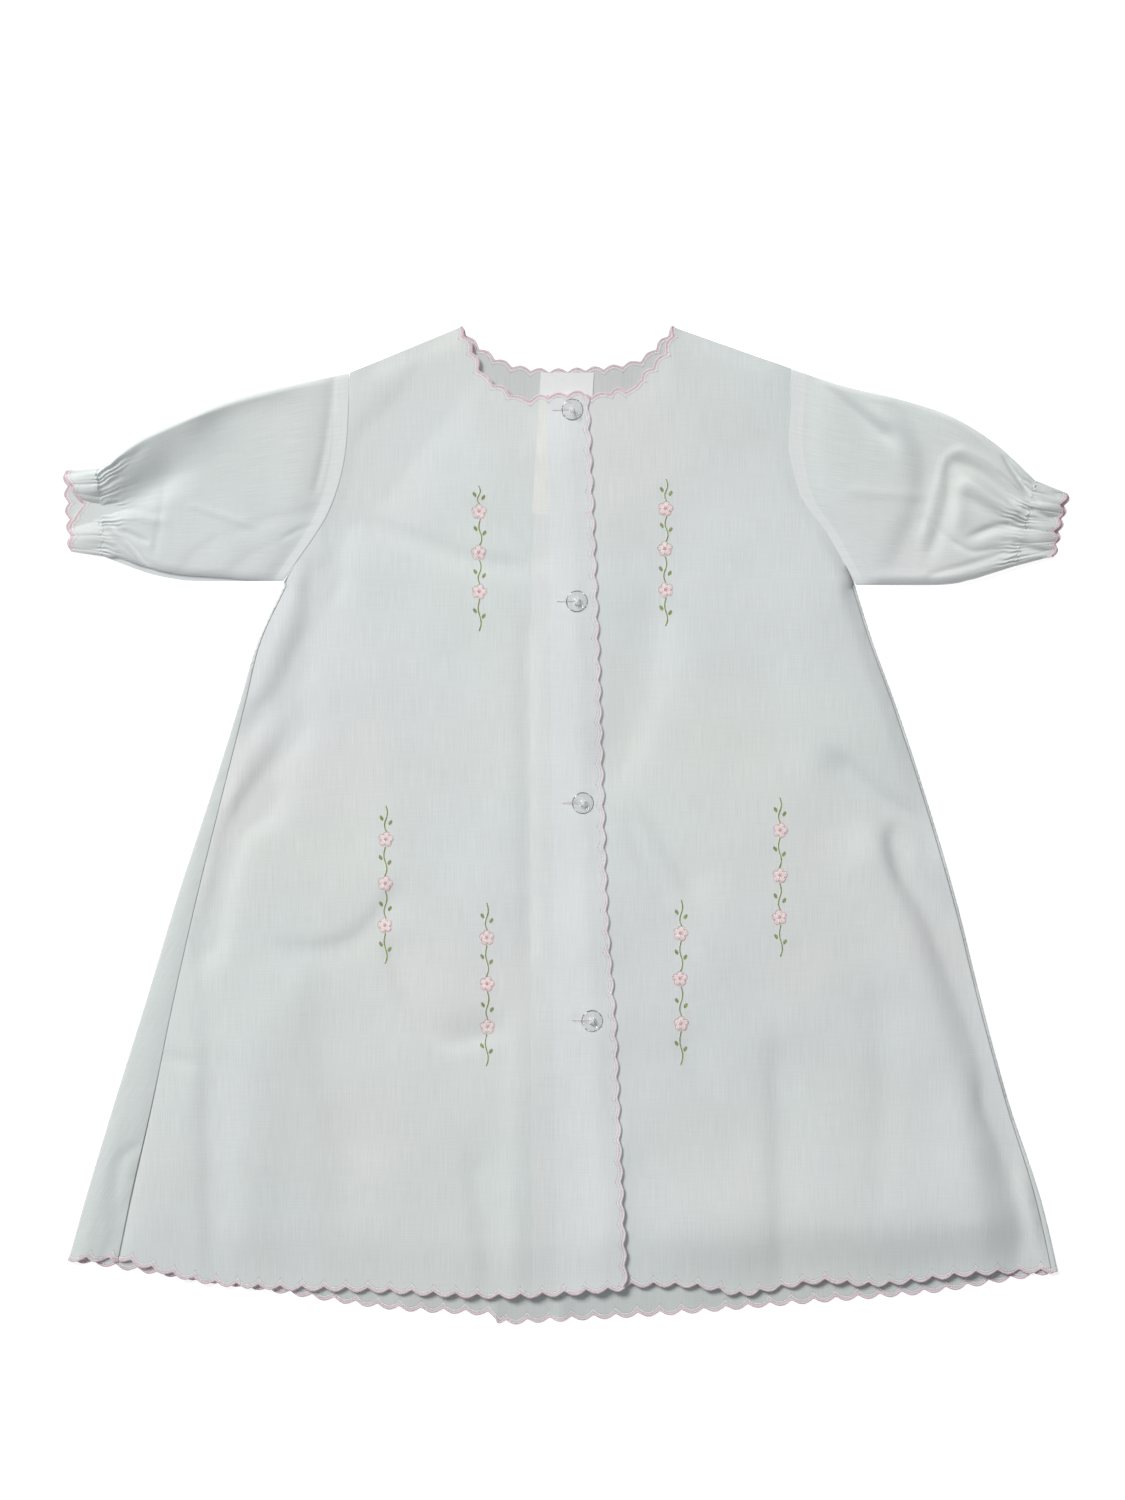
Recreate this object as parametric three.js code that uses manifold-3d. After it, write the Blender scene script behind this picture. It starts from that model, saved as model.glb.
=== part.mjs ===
// A newborn's daygown laid flat: two fronts that overlap down the middle over one back,
// set-in sleeves drawn in by elastic above a short frill, scalloped edges, four buttons.
// Millimetres. +Y runs from hem to neck, +X to the wearer's left, +Z up off the surface
// that the gown lies on. The origin is the middle of its footprint.
import * as THREE from 'three';
import { mergeVertices } from 'three/addons/utils/BufferGeometryUtils.js';
import Module from 'manifold-3d';

const wasm = await Module();
wasm.setup();

// Layers
const CLOTH = 1.0;                                // wall of a cloth piece
const GAP = 0.3;                                  // clearance between two pieces
const LAYER = CLOTH + GAP;                        // rise from one layer to the next
const BACK_Z = CLOTH / 2;                         // middle of the back's wall
const FRONT_Z = 2.2;                              // middle of a front's wall at its seams
const FOLD_RADIUS = (FRONT_Z - BACK_Z) / 2;       // the back's turn round to the front
const FRONT_EASE = 1.3;                           // how far the fronts stand off the back
const ARMHOLE_GAP = 0.6;                          // clearance along the curved armhole seams
const UNDERARM_TRIM = 3;                          // how far a front's corner clears the back's
const SIDE_ROWS = 16;
const STEP = { armhole: 6, plain: 16, hidden: 24 };
const GRID = { back: [22, 20], front: [13, 20], facing: [4, 20] };  // columns and rows of points
const FOLD_END = 1.5;                             // a fold's fall-off past its ends, in halves
const EASE_IN = 22;                               // how far in from a seam the fronts stand free
const ARMHOLE_X = { low: 138, high: 106 };        // where the armholes are taken to run, for that
const LEAST_WRAP = 0.1;                           // narrowest that the turned strip may get

// Scallops
const HEM_SCALLOP = { pitch: 11, depth: 2.6 };
const EDGE_SCALLOP = { pitch: 10.4, depth: 1.8 };
const SCALLOP_STEPS = 3;
const WRAP_SCALLOPS = { right: 2, left: 0 };      // hem scallops on what turns to the front

// Body, from neck to hem
const NECK_POINT = { right: [-51.8, 249.8], left: [52.2, 249.8] };
const SHOULDER_TIP = { right: [-108.2, 226.5], left: [112.5, 228.5] };
const UNDERARM = { right: [-141.2, 122], left: [144.2, 121] };
const ARMHOLE = {
  right: [[-109.8, 193.5], [-113.2, 173.5], [-119, 157], [-126, 145], [-134, 133.5]],
  left: [[111.2, 195.5], [113.2, 178.5], [118.2, 163], [130, 146.5], [139, 131]],
};
// Outer edge of the gown and how far the back wraps round it, measured at heights y
const SIDES = table(['y', 'right', 'rightWrap', 'left', 'leftWrap'], [
  [120, 141.6, 1.5, 144.3, 1.5],
  [93, 154.2, 1.5, 152.8, 1.5],
  [63, 163.2, 3, 163.8, 1.5],
  [13, 178.8, 6, 180.2, 1.5],
  [-37, 195.2, 10, 194.8, 1.5],
  [-87, 210.2, 13.7, 207.2, 1.5],
  [-137, 225.8, 19, 220.8, 1.5],
  [-187, 240.8, 22.5, 237.2, 2.5],
  [-218, 249.6, 25, 244.6, 3],
  [-224, 251.5, 25.6, 245.8, 3],
]);
const HEM_Y = { right: -218, left: -223.6 };       // hem at the side folds
const BACK_NECK = [[-43, 240.5], [-33, 234], [-23, 230.5], [-8, 229], [13, 230], [27, 231.5],
  [37, 234.5], [44, 240.5]];
const BACK_HEM = [[-218, -222.5], [-158, -231.5], [-91, -241.5], [-39, -244.8], [-34.5, -249.4],
  [-8, -248], [52, -244.5], [112, -239.5], [179, -234], [212, -229]];

// The right front laps over the left one
const RIGHT_NECK = [[-45.8, 238.5], [-40.5, 226], [-31.2, 219.5], [-21.8, 214.5], [-10.8, 216]];
const RIGHT_LAP = [[11.5, 218.2], [16.8, 88], [20.8, -37], [25, -97], [27.8, -162], [30.8, -232]];
const RIGHT_HEM = [[-224, -217.4], [-185, -228], [-151, -231.5], [-99, -233], [-32, -236]];
const LEFT_NECK = [[15, 216.5], [24, 219], [33.5, 219.5], [36, 224.5], [42, 230.5], [48, 238]];
const LEFT_EDGE = [[-10, 215.5], [-7.2, 13], [-5.2, -232]];
const LEFT_HEM = [[33, -230.5], [64, -230.8], [87, -234.8], [107, -231.5], [129, -228.5],
  [157, -230], [204, -224.6]];
const FACING_EDGE = [[-12.8, 213], [-17.8, 103], [-17.8, -87], [-17, -231]];
const FACING_SETBACK = 4;                         // facing's edge behind the lap's scallops
const LAP_RISE = { start: -72, end: -40 };         // where the lapping front climbs, along x
const LAP_FLAT = { half: 44, blend: 18 };         // middle band that no fold crosses
const LABEL = { width: 26.5, length: 71, x: 0.5, top: 226.5, lean: -4.5 };

// Long soft folds of the fronts: a ridge where high is above zero, or else a trough
const FRONT_FOLDS = table(['x1', 'y1', 'x2', 'y2', 'half', 'high'], [
  [-129, 119, -151, 30, 9, 0.9],
  [-68, 144, -11, 119, 7, -0.9],
  [-147, -63, -104, -34, 8, -1.1],
  [-90, -70, -68, -100, 8, -1.0],
  [-68, -100, -39, -100, 7, -0.8],
  [22, 22, 50, -6, 8, -0.9],
  [140, 26, 179, -45, 9, -1.2],
  [179, -45, 212, -113, 10, -1.3],
  [212, -113, 226, -164, 9, -1.0],
  [-41, -140, -42, -236, 12, 1.3],
  [115, -120, 119, -234, 13, 1.3],
  [-120, -120, -150, -232, 13, 1.0],
  [188, -130, 196, -230, 10, 1.1],
  [70, 190, 82, 60, 14, 0.8],
  [-80, 190, -92, 70, 14, 0.8],
]);

// Sleeves: plan lines from the armhole to the elastic, then the frill's corners
const SLEEVES = {
  right: {
    top: [[-108.5, 226.4], [-128, 222.5], [-151, 217.5], [-173, 211], [-203, 198.5],
      [-218, 190.5], [-233, 179]],
    bottom: [[-141.6, 122.5], [-181, 122.4], [-196, 123.5], [-211, 127], [-231, 134.5]],
    cuff: [[-252.2, 178], [-250.4, 137]],
    notch: 9,
    folds: table(['x1', 'y1', 'x2', 'y2', 'half', 'high'], [
      [-226, 168, -150, 208, 9, -1.3],
      [-228, 155, -160, 178, 9, 0.9],
      [-228, 146, -206, 139, 4, -0.9],
      [-120, 205, -138, 160, 8, 0.6],
      [-160, 160, -196, 140, 8, -0.7],
    ]),
  },
  left: {
    top: [[112.8, 228.4], [127, 223.5], [142, 219], [164, 214], [187, 207], [202, 199.5],
      [217, 189], [234, 173]],
    bottom: [[144.7, 120.5], [187, 120.5], [202, 123], [212, 126], [223, 129.5]],
    cuff: [[252.2, 166.5], [245, 134.5]],
    notch: 1.5,
    folds: table(['x1', 'y1', 'x2', 'y2', 'half', 'high'], [
      [120, 222, 150, 200, 5, -0.9],
      [178, 132, 186, 178, 5, 1.2],
      [192, 187, 226, 160, 5, 1.2],
      [170, 192, 168, 140, 6, -1.1],
      [194, 170, 188, 132, 5, -1.0],
      [208, 146, 226, 150, 4, -1.2],
      [140, 190, 150, 140, 8, 0.7],
    ]),
  },
};
const SLEEVE_EDGE = 3.0;                          // height of a sleeve's edges and armhole end
const SLEEVE_HOLLOW = 3.6;                        // most height of its empty inside
const SLEEVE_ROLL = 11;                           // how far in its edges round over
const FRILL_SCALLOP = { count: 5, depth: 2.2 };
const GATHERS = 8;                                // gathers across the upper side of a sleeve
const GATHER_STEPS = 4;                           // steps across one of them
const GATHER_DRIFT = { reach: 0.018, waves: 9, along: 2 };  // keeps them from being even
const FLAT_STEPS = 8;                             // steps across its underside
const RING_MARGIN = 0.4;                          // how far a ring's points keep from its edges
const NOTCH_POWER = 1.5;                          // how sharply the end of the frill is cut in
const SETTLE_POWER = 0.5;                         // how fast a sleeve's folds reach full height
// Stations along a sleeve: 0 is the armhole, 1 the elastic, 2 the end of the frill
const STATIONS = table(['at', 'height', 'gather'], [
  [0, 3.0, 0],
  [0.14, 3.6, 0],
  [0.32, 5.0, 0],
  [0.5, 6.2, 0],
  [0.66, 6.7, 0.2],
  [0.79, 6.5, 0.5],
  [0.88, 5.9, 0.8],
  [0.95, 5.1, 0.9],
  [1, 4.4, 0.7],
  [1.12, 4.9, 0.8],
  [1.5, 5.7, 0.7],
  [2, 5.3, 0.5],
]);

// Buttons and their holes
const BUTTON = {
  radius: 5.6, rim: 1.1, slope: 0.7, thick: 2.0, round: 0.3, foot: 0.5, shoulder: 0.4,
  dish: 0.7, crown: 0.1, shank: 0.55, steps: 20,
};
const BUTTON_HOLE = { radius: 0.65, out: 1.65, steps: 8 };
const BUTTONS = [[3, 207.5], [5.2, 112], [8.2, 11.5], [12.8, -97]];
const BUTTONHOLE = { length: 14, width: 2.0, shift: -5.3, tall: 40 };

const COLOURS = { cotton: 0xd3d9d6, label: 0xe6e8e9, button: 0xdfe3e4 };

// ---- Small helpers -------------------------------------------------------------------

function table(names, rows) {
  return rows.map((row) => Object.fromEntries(names.map((name, i) => [name, row[i]])));
}

function follow(rows, along, name) {
  const sorted = [...rows].sort((a, b) => a[along] - b[along]);
  const positions = sorted.map((row) => row[along]);
  const curve = new THREE.CubicInterpolant(positions, sorted.map((row) => row[name]), 1);
  return (at) => curve.evaluate(THREE.MathUtils.clamp(at, positions[0], positions.at(-1)))[0];
}

function point(pair) {
  return new THREE.Vector2(pair[0], pair[1]);
}

function straight(from, to) {
  return new THREE.LineCurve(point(from), point(to));
}

function through(pairs) {
  return new THREE.SplineCurve(pairs.map(point));
}

// Height that a table of folds adds at one place
function foldHeight(folds, x, y) {
  let sum = 0;
  for (const fold of folds) {
    const dx = fold.x2 - fold.x1;
    const dy = fold.y2 - fold.y1;
    const length = Math.hypot(dx, dy);
    const along = ((x - fold.x1) * dx + (y - fold.y1) * dy) / length;
    const across = ((x - fold.x1) * dy - (y - fold.y1) * dx) / length;
    const past = Math.max(-along, along - length, 0);
    sum += fold.high * Math.exp(-((across / fold.half) ** 2) - (past / (FOLD_END * fold.half)) ** 2);
  }
  return sum;
}

// ---- Sheets: a flat pattern of triangles, then a wall on it ---------------------------

// One side of a pattern: curves end to end, each plain or scalloped. turn is 1 where the
// cloth lies to the right of the way the side runs and -1 where it lies to the left.
function makeSide(parts, turn) {
  const path = new THREE.CurvePath();
  const points = [];
  for (const { curve, scallop, step } of parts) {
    path.add(curve);
    const length = curve.getLength();
    const bumps = scallop ? Math.round(length / scallop.pitch) : 0;
    const count = scallop ? bumps * SCALLOP_STEPS : Math.max(1, Math.round(length / step));
    for (let i = points.length ? 1 : 0; i <= count; i++) {
      const at = curve.getPointAt(i / count);
      const ends = i === 0 || i === count;
      if (scallop && !ends) {
        const tangent = curve.getTangentAt(i / count);
        const bump = Math.sin((Math.PI * (i % SCALLOP_STEPS)) / SCALLOP_STEPS);
        const set = turn * scallop.depth * (1 - bump);
        at.add(new THREE.Vector2(tangent.y, -tangent.x).multiplyScalar(set));
      }
      points.push(at);
    }
  }
  return { path, points };
}

// Coons patch: the place at (u, v) between four sides
function coons(sides, u, v) {
  const { top, bottom, left, right } = sides;
  const at = top.path.getPoint(u).multiplyScalar(1 - v);
  at.addScaledVector(bottom.path.getPoint(u), v);
  at.addScaledVector(left.path.getPoint(v), 1 - u);
  at.addScaledVector(right.path.getPoint(v), u);
  at.addScaledVector(top.path.getPoint(0), -(1 - u) * (1 - v));
  at.addScaledVector(top.path.getPoint(1), -u * (1 - v));
  at.addScaledVector(bottom.path.getPoint(0), -(1 - u) * v);
  at.addScaledVector(bottom.path.getPoint(1), -u * v);
  return at;
}

// A pattern: a coarse grid inside and a strip of triangles out to each fine side
function makePattern(sides, across, down) {
  const points = [];
  const faces = [];
  const add = (at) => points.push(at) - 1;
  const turn = (a, b, c) => {
    const [p, q, r] = [points[a], points[b], points[c]];
    return (q.x - p.x) * (r.y - p.y) - (q.y - p.y) * (r.x - p.x);
  };
  const face = (a, b, c) => faces.push(turn(a, b, c) > 0 ? [a, b, c] : [a, c, b]);
  const grid = [];
  for (let j = 1; j < down; j++) {
    const row = [];
    for (let i = 1; i < across; i++) row.push(add(coons(sides, i / across, j / down)));
    grid.push(row);
  }
  for (let j = 1; j < grid.length; j++) {
    for (let i = 1; i < grid[j].length; i++) {
      face(grid[j - 1][i - 1], grid[j - 1][i], grid[j][i]);
      face(grid[j - 1][i - 1], grid[j][i], grid[j][i - 1]);
    }
  }
  const rim = {};
  const edge = (side, first, last) => [first, ...side.points.slice(1, -1).map(add), last];
  const corner = (side, t) => add(side.path.getPoint(t));
  const corners = [corner(sides.top, 0), corner(sides.top, 1),
    corner(sides.bottom, 0), corner(sides.bottom, 1)];
  rim.top = edge(sides.top, corners[0], corners[1]);
  rim.bottom = edge(sides.bottom, corners[2], corners[3]);
  rim.left = edge(sides.left, corners[0], corners[2]);
  rim.right = edge(sides.right, corners[1], corners[3]);
  // Each step takes the next point of the outer or of the inner line, whichever gives the
  // shorter new edge, unless that would turn the triangle over
  const strip = (outer, inner, way) => {
    const reach = (from, to) => (to === undefined
      ? Infinity
      : points[from].distanceTo(points[to]));
    let a = 0;
    let b = 0;
    while (a < outer.length - 1 || b < inner.length - 1) {
      const [here, outerNext, innerNext] = [inner[b], outer[a + 1], inner[b + 1]];
      const folds = innerNext !== undefined && way * turn(outer[a], innerNext, here) <= 0;
      const outerFolds = outerNext !== undefined && way * turn(outer[a], outerNext, here) <= 0;
      const nearer = reach(here, outerNext) <= reach(outer[a], innerNext);
      if (outerNext !== undefined && !outerFolds && (folds || nearer || innerNext === undefined)) {
        face(outer[a], outerNext, here);
        a += 1;
      } else {
        face(outer[a], here, innerNext);
        b += 1;
      }
    }
  };
  strip(rim.top, grid[0], -1);
  strip(rim.bottom, grid.at(-1), 1);
  strip(rim.left, grid.map((row) => row[0]), 1);
  strip(rim.right, grid.map((row) => row.at(-1)), -1);
  return { points, faces, rim: { right: rim.left, left: rim.right } };
}

// A wall on a pattern: place(x, y) gives a point of its middle and the way it faces
function makeWall(pattern, place, thick) {
  const count = pattern.points.length;
  const position = new Float32Array(count * 6);
  pattern.points.forEach(({ x, y }, i) => {
    const { middle, facing } = place(x, y);
    middle.clone().addScaledVector(facing, thick / 2).toArray(position, i * 3);
    middle.clone().addScaledVector(facing, -thick / 2).toArray(position, (count + i) * 3);
  });
  const index = [];
  const open = new Map();
  for (const [a, b, c] of pattern.faces) {
    index.push(a, b, c, count + a, count + c, count + b);
    for (const [p, q] of [[a, b], [b, c], [c, a]]) {
      if (!open.delete(`${q} ${p}`)) open.set(`${p} ${q}`, [p, q]);
    }
  }
  for (const [p, q] of open.values()) index.push(q, p, count + p, q, count + p, count + q);
  return toGeometry(position, index);
}

function toGeometry(position, index) {
  const geometry = new THREE.BufferGeometry();
  geometry.setAttribute('position', new THREE.BufferAttribute(position, 3));
  geometry.setIndex(index);
  geometry.computeVertexNormals();
  return geometry;
}

// ---- Cutting -------------------------------------------------------------------------

function toManifold(geometry) {
  const bare = geometry.clone();
  bare.deleteAttribute('normal');
  bare.deleteAttribute('uv');
  const merged = mergeVertices(bare, 1e-4);
  return new wasm.Manifold(new wasm.Mesh({
    numProp: 3,
    vertProperties: new Float32Array(merged.attributes.position.array),
    triVerts: new Uint32Array(merged.index.array),
  }));
}

function cut(geometry, cutters) {
  let solid = toManifold(geometry);
  for (const cutter of cutters) solid = solid.subtract(toManifold(cutter));
  const { vertProperties, triVerts } = solid.getMesh();
  return toGeometry(new Float32Array(vertProperties), Array.from(triVerts));
}

// ---- The body of the gown --------------------------------------------------------------

const outerEdge = {
  right: follow(SIDES, 'y', 'right'),
  left: follow(SIDES, 'y', 'left'),
};
const wrap = {
  right: follow(SIDES, 'y', 'rightWrap'),
  left: follow(SIDES, 'y', 'leftWrap'),
};
const SIDE_TOP_Y = SIDES[0].y;
const sign = { right: -1, left: 1 };

function seamX(which, y) {
  return outerEdge[which](y) - wrap[which](y);
}

// How far the fronts stand off the back: nothing at the seams, then soft folds
function ease(x, y) {
  const which = x < 0 ? 'right' : 'left';
  const { low, high } = ARMHOLE_X;
  const armhole = THREE.MathUtils.mapLinear(y, SIDE_TOP_Y, SHOULDER_TIP[which][1], low, high);
  const edge = y < SIDE_TOP_Y ? seamX(which, y) : armhole;
  const fade = THREE.MathUtils.smoothstep(edge - Math.abs(x), 0, EASE_IN);
  const { half, blend } = LAP_FLAT;
  const folded = THREE.MathUtils.smoothstep(Math.abs(x), half, half + blend);
  return fade * Math.max(0, FRONT_EASE + folded * foldHeight(FRONT_FOLDS, x, y));
}

function underHeight(x, y) {
  return FRONT_Z + ease(x, y);
}

// The facing and the lapping front climb one layer each before they reach the left front
function facingHeight(x, y) {
  return underHeight(x, y) + LAYER * THREE.MathUtils.smoothstep(x, LAP_RISE.start, LAP_RISE.end);
}

function lapHeight(x, y) {
  return 2 * facingHeight(x, y) - underHeight(x, y);
}

function liftTo(height) {
  return (x, y) => ({
    middle: new THREE.Vector3(x, y, height(x, y)),
    facing: new THREE.Vector3(0, 0, 1),
  });
}

// Where the flat underside ends and the back starts its turn round to the front
function turnX(which, y) {
  return outerEdge[which](y) - CLOTH / 2 - FOLD_RADIUS;
}

// A line down one side of the gown at the x that across(which, y) gives
function sideLine(which, across, endY = HEM_Y[which]) {
  const pairs = [];
  for (let i = 0; i <= SIDE_ROWS; i++) {
    const y = THREE.MathUtils.lerp(SIDE_TOP_Y, endY, i / SIDE_ROWS);
    pairs.push([sign[which] * across(which, y), y]);
  }
  return through(pairs);
}

// The back's pattern is flat, with what turns round the sides unrolled outwards
function placeBack(q, y) {
  const which = q < 0 ? 'right' : 'left';
  const past = Math.abs(q) - turnX(which, y);
  if (y > SIDE_TOP_Y || past <= 0) {
    return { middle: new THREE.Vector3(q, y, BACK_Z), facing: new THREE.Vector3(0, 0, 1) };
  }
  const turned = Math.min(past / FOLD_RADIUS, Math.PI);
  const beyond = Math.max(0, past - Math.PI * FOLD_RADIUS);
  const x = turnX(which, y) + FOLD_RADIUS * Math.sin(turned) - beyond;
  const z = BACK_Z + FOLD_RADIUS * (1 - Math.cos(turned));
  return {
    middle: new THREE.Vector3(sign[which] * x, y, z),
    facing: new THREE.Vector3(-sign[which] * Math.sin(turned), 0, Math.cos(turned)),
  };
}

// Adds what turns round one side to the back's pattern: columns round the fold, then
// columns across to the seam, with the hem's scallops carried on along the last row
function addWrap(pattern, which) {
  const start = pattern.rim[which].filter((index) => pattern.points[index].y <= SIDE_TOP_Y);
  const folds = [1, 2, 3, 4].map((step) => (step * Math.PI * FOLD_RADIUS) / 4);
  const across = Math.max(1, Math.round(WRAP_SCALLOPS[which] * SCALLOP_STEPS));
  const rows = start.map((index, row) => {
    const put = (y, column) => {
      const q = sign[which] * (turnX(which, y) + column);
      return pattern.points.push(new THREE.Vector2(q, y)) - 1;
    };
    const { y } = pattern.points[index];
    const made = [index, ...folds.map((column) => put(y, column))];
    for (let i = 1; i <= across; i++) {
      const bump = Math.sin((Math.PI * (i % SCALLOP_STEPS)) / SCALLOP_STEPS);
      const scalloped = row === start.length - 1 && across > 1;
      const height = y + (scalloped ? HEM_SCALLOP.depth * (1 - bump) : 0);
      const lying = Math.max(LEAST_WRAP, turnX(which, height) - seamX(which, height));
      made.push(put(height, folds.at(-1) + (lying * i) / across));
    }
    return made;
  });
  for (let r = 1; r < rows.length; r++) {
    for (let i = 1; i < rows[r].length; i++) {
      const [a, b, c, d] = [rows[r - 1][i - 1], rows[r - 1][i], rows[r][i], rows[r][i - 1]];
      if (which === 'left') pattern.faces.push([a, c, b], [a, d, c]);
      else pattern.faces.push([a, b, c], [a, c, d]);
    }
  }
}

function makeBack() {
  const foldLine = (which) => sideLine(which, turnX);
  const hemEnd = (which) => [sign[which] * turnX(which, HEM_Y[which]), HEM_Y[which]];
  const down = (which, turn) => makeSide([
    { curve: through([SHOULDER_TIP[which], ...ARMHOLE[which], UNDERARM[which]]), step: STEP.armhole },
    { curve: straight(UNDERARM[which], foldLine(which).getPoint(0).toArray()), step: STEP.plain },
    { curve: foldLine(which), step: STEP.plain },
  ], turn);
  const shoulder = (from, to) => ({ curve: straight(from, to), step: STEP.plain });
  const sides = {
    top: makeSide([
      shoulder(SHOULDER_TIP.right, NECK_POINT.right),
      { curve: through([NECK_POINT.right, ...BACK_NECK, NECK_POINT.left]), scallop: EDGE_SCALLOP },
      shoulder(NECK_POINT.left, SHOULDER_TIP.left),
    ], 1),
    bottom: makeSide([{
      curve: through([hemEnd('right'), ...BACK_HEM, hemEnd('left')]), scallop: HEM_SCALLOP,
    }], -1),
    left: down('right', -1),
    right: down('left', 1),
  };
  const pattern = makePattern(sides, ...GRID.back);
  addWrap(pattern, 'right');
  addWrap(pattern, 'left');
  return makeWall(pattern, placeBack, CLOTH);
}

// A front's side from the shoulder tip down the armhole and the side seam
function frontSide(which, hemCorner, turn) {
  const seam = sideLine(which, (name, y) => seamX(name, y) - GAP, hemCorner[1]);
  const underarm = seam.getPoint(0).add(new THREE.Vector2(0, UNDERARM_TRIM)).toArray();
  return makeSide([
    { curve: through([SHOULDER_TIP[which], ...ARMHOLE[which], underarm]), step: STEP.armhole },
    { curve: straight(underarm, seam.getPoint(0).toArray()), step: STEP.plain },
    { curve: seam, step: STEP.plain },
  ], turn);
}

function makeRightFront() {
  const [lapTop, lapBottom] = [RIGHT_LAP[0], RIGHT_LAP.at(-1)];
  const hemCorner = [-(seamX('right', RIGHT_HEM[0][1]) - GAP), RIGHT_HEM[0][1]];
  const sides = {
    top: makeSide([
      { curve: straight(SHOULDER_TIP.right, NECK_POINT.right), step: STEP.plain },
      { curve: through([NECK_POINT.right, ...RIGHT_NECK, lapTop]), scallop: EDGE_SCALLOP },
    ], 1),
    bottom: makeSide([{
      curve: through([hemCorner, ...RIGHT_HEM.slice(1), lapBottom]), scallop: HEM_SCALLOP,
    }], -1),
    left: frontSide('right', hemCorner, -1),
    right: makeSide([{ curve: through(RIGHT_LAP), scallop: EDGE_SCALLOP }], 1),
  };
  return cut(makeWall(makePattern(sides, ...GRID.front), liftTo(lapHeight), CLOTH), buttonholes());
}

function makeLeftFront() {
  const hemCorner = [seamX('left', HEM_Y.left) - GAP, HEM_Y.left];
  const [edgeTop, edgeBottom] = [LEFT_EDGE[0], LEFT_EDGE.at(-1)];
  const sides = {
    top: makeSide([
      { curve: through([edgeTop, ...LEFT_NECK, NECK_POINT.left]), scallop: EDGE_SCALLOP },
      { curve: straight(NECK_POINT.left, SHOULDER_TIP.left), step: STEP.plain },
    ], 1),
    bottom: makeSide([{
      curve: through([edgeBottom, ...LEFT_HEM, hemCorner]), scallop: HEM_SCALLOP,
    }], -1),
    left: makeSide([{ curve: through(LEFT_EDGE), step: STEP.hidden }], -1),
    right: frontSide('left', hemCorner, 1),
  };
  return makeWall(makePattern(sides, ...GRID.front), liftTo(underHeight), CLOTH);
}

// The strip turned back under the lapping edge
function makeFacing() {
  const outer = RIGHT_LAP.map(([x, y]) => [x - FACING_SETBACK, y]);
  outer[0][1] = FACING_EDGE[0][1];
  outer.at(-1)[1] = FACING_EDGE.at(-1)[1] + 1;
  const sides = {
    top: makeSide([{ curve: straight(FACING_EDGE[0], outer[0]), step: STEP.armhole }], 1),
    bottom: makeSide([{ curve: straight(FACING_EDGE.at(-1), outer.at(-1)), step: STEP.plain }], -1),
    left: makeSide([{ curve: through(FACING_EDGE), step: STEP.hidden }], -1),
    right: makeSide([{ curve: through(outer), step: STEP.plain }], 1),
  };
  return cut(makeWall(makePattern(sides, ...GRID.facing), liftTo(facingHeight), CLOTH), buttonholes());
}

function makeLabel() {
  const half = LABEL.width / 2;
  const shape = new THREE.Shape([
    point([LABEL.x - half, LABEL.top]),
    point([LABEL.x - half + LABEL.lean, LABEL.top - LABEL.length]),
    point([LABEL.x + half + LABEL.lean, LABEL.top - LABEL.length]),
    point([LABEL.x + half, LABEL.top]),
  ]);
  const geometry = new THREE.ExtrudeGeometry(shape, { depth: CLOTH, bevelEnabled: false });
  return geometry.translate(0, 0, LAYER);
}

function buttonholes() {
  const { length, width, shift, tall } = BUTTONHOLE;
  return BUTTONS.map(([x, y]) => {
    const slot = new THREE.BoxGeometry(length, width, tall);
    return slot.translate(x + shift, y, 0);
  });
}

// ---- Sleeves -------------------------------------------------------------------------

const stationHeight = follow(STATIONS, 'at', 'height');
const stationGather = follow(STATIONS, 'at', 'gather');

function sleevePlan(which) {
  const { top, bottom, cuff, notch } = SLEEVES[which];
  const armhole = [top[0], ...ARMHOLE[which].map(([x, y]) => [x + sign[which] * ARMHOLE_GAP, y]),
    bottom[0]];
  const side = (pairs) => ({ path: pathOf(through(pairs)) });
  const sides = {
    left: side(armhole),
    right: side([top.at(-1), bottom.at(-1)]),
    top: side(top),
    bottom: side(bottom),
  };
  const outward = new THREE.Vector2(sign[which], 0);
  return (at, v, upper) => {
    if (at <= 1) return coons(sides, at, v);
    const elastic = sides.right.path.getPoint(v);
    const end = point(cuff[0]).lerp(point(cuff[1]), v);
    const bump = Math.abs(Math.sin(Math.PI * FRILL_SCALLOP.count * v));
    const hollow = upper ? notch * Math.sin(Math.PI * v) ** NOTCH_POWER : 0;
    end.addScaledVector(outward, -hollow - FRILL_SCALLOP.depth * (1 - bump));
    return elastic.lerp(end, at - 1);
  };
}

function pathOf(curve) {
  const path = new THREE.CurvePath();
  path.add(curve);
  return path;
}

// Height of the sleeve's upper side at one place across a station
function sleeveTop(which, plan, at, v) {
  const width = plan(Math.min(at, 1), 0).distanceTo(plan(Math.min(at, 1), 1));
  const fromEdge = Math.min(v, 1 - v) * width;
  const near = Math.max(0, 1 - fromEdge / SLEEVE_ROLL);
  const round = Math.sqrt(1 - near * near);
  const place = plan(at, v, true);
  const { reach, waves, along } = GATHER_DRIFT;
  const uneven = v + reach * Math.sin(waves * v + along * at);
  const gather = stationGather(at) * Math.cos(2 * Math.PI * GATHERS * uneven);
  const fold = at < 1 ? foldHeight(SLEEVES[which].folds, place.x, place.y) : 0;
  const settle = Math.sin(Math.PI * Math.min(1, at)) ** SETTLE_POWER;
  const rise = stationHeight(at) - SLEEVE_EDGE + gather + fold * settle;
  return SLEEVE_EDGE + round * Math.max(0, rise);
}

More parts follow.
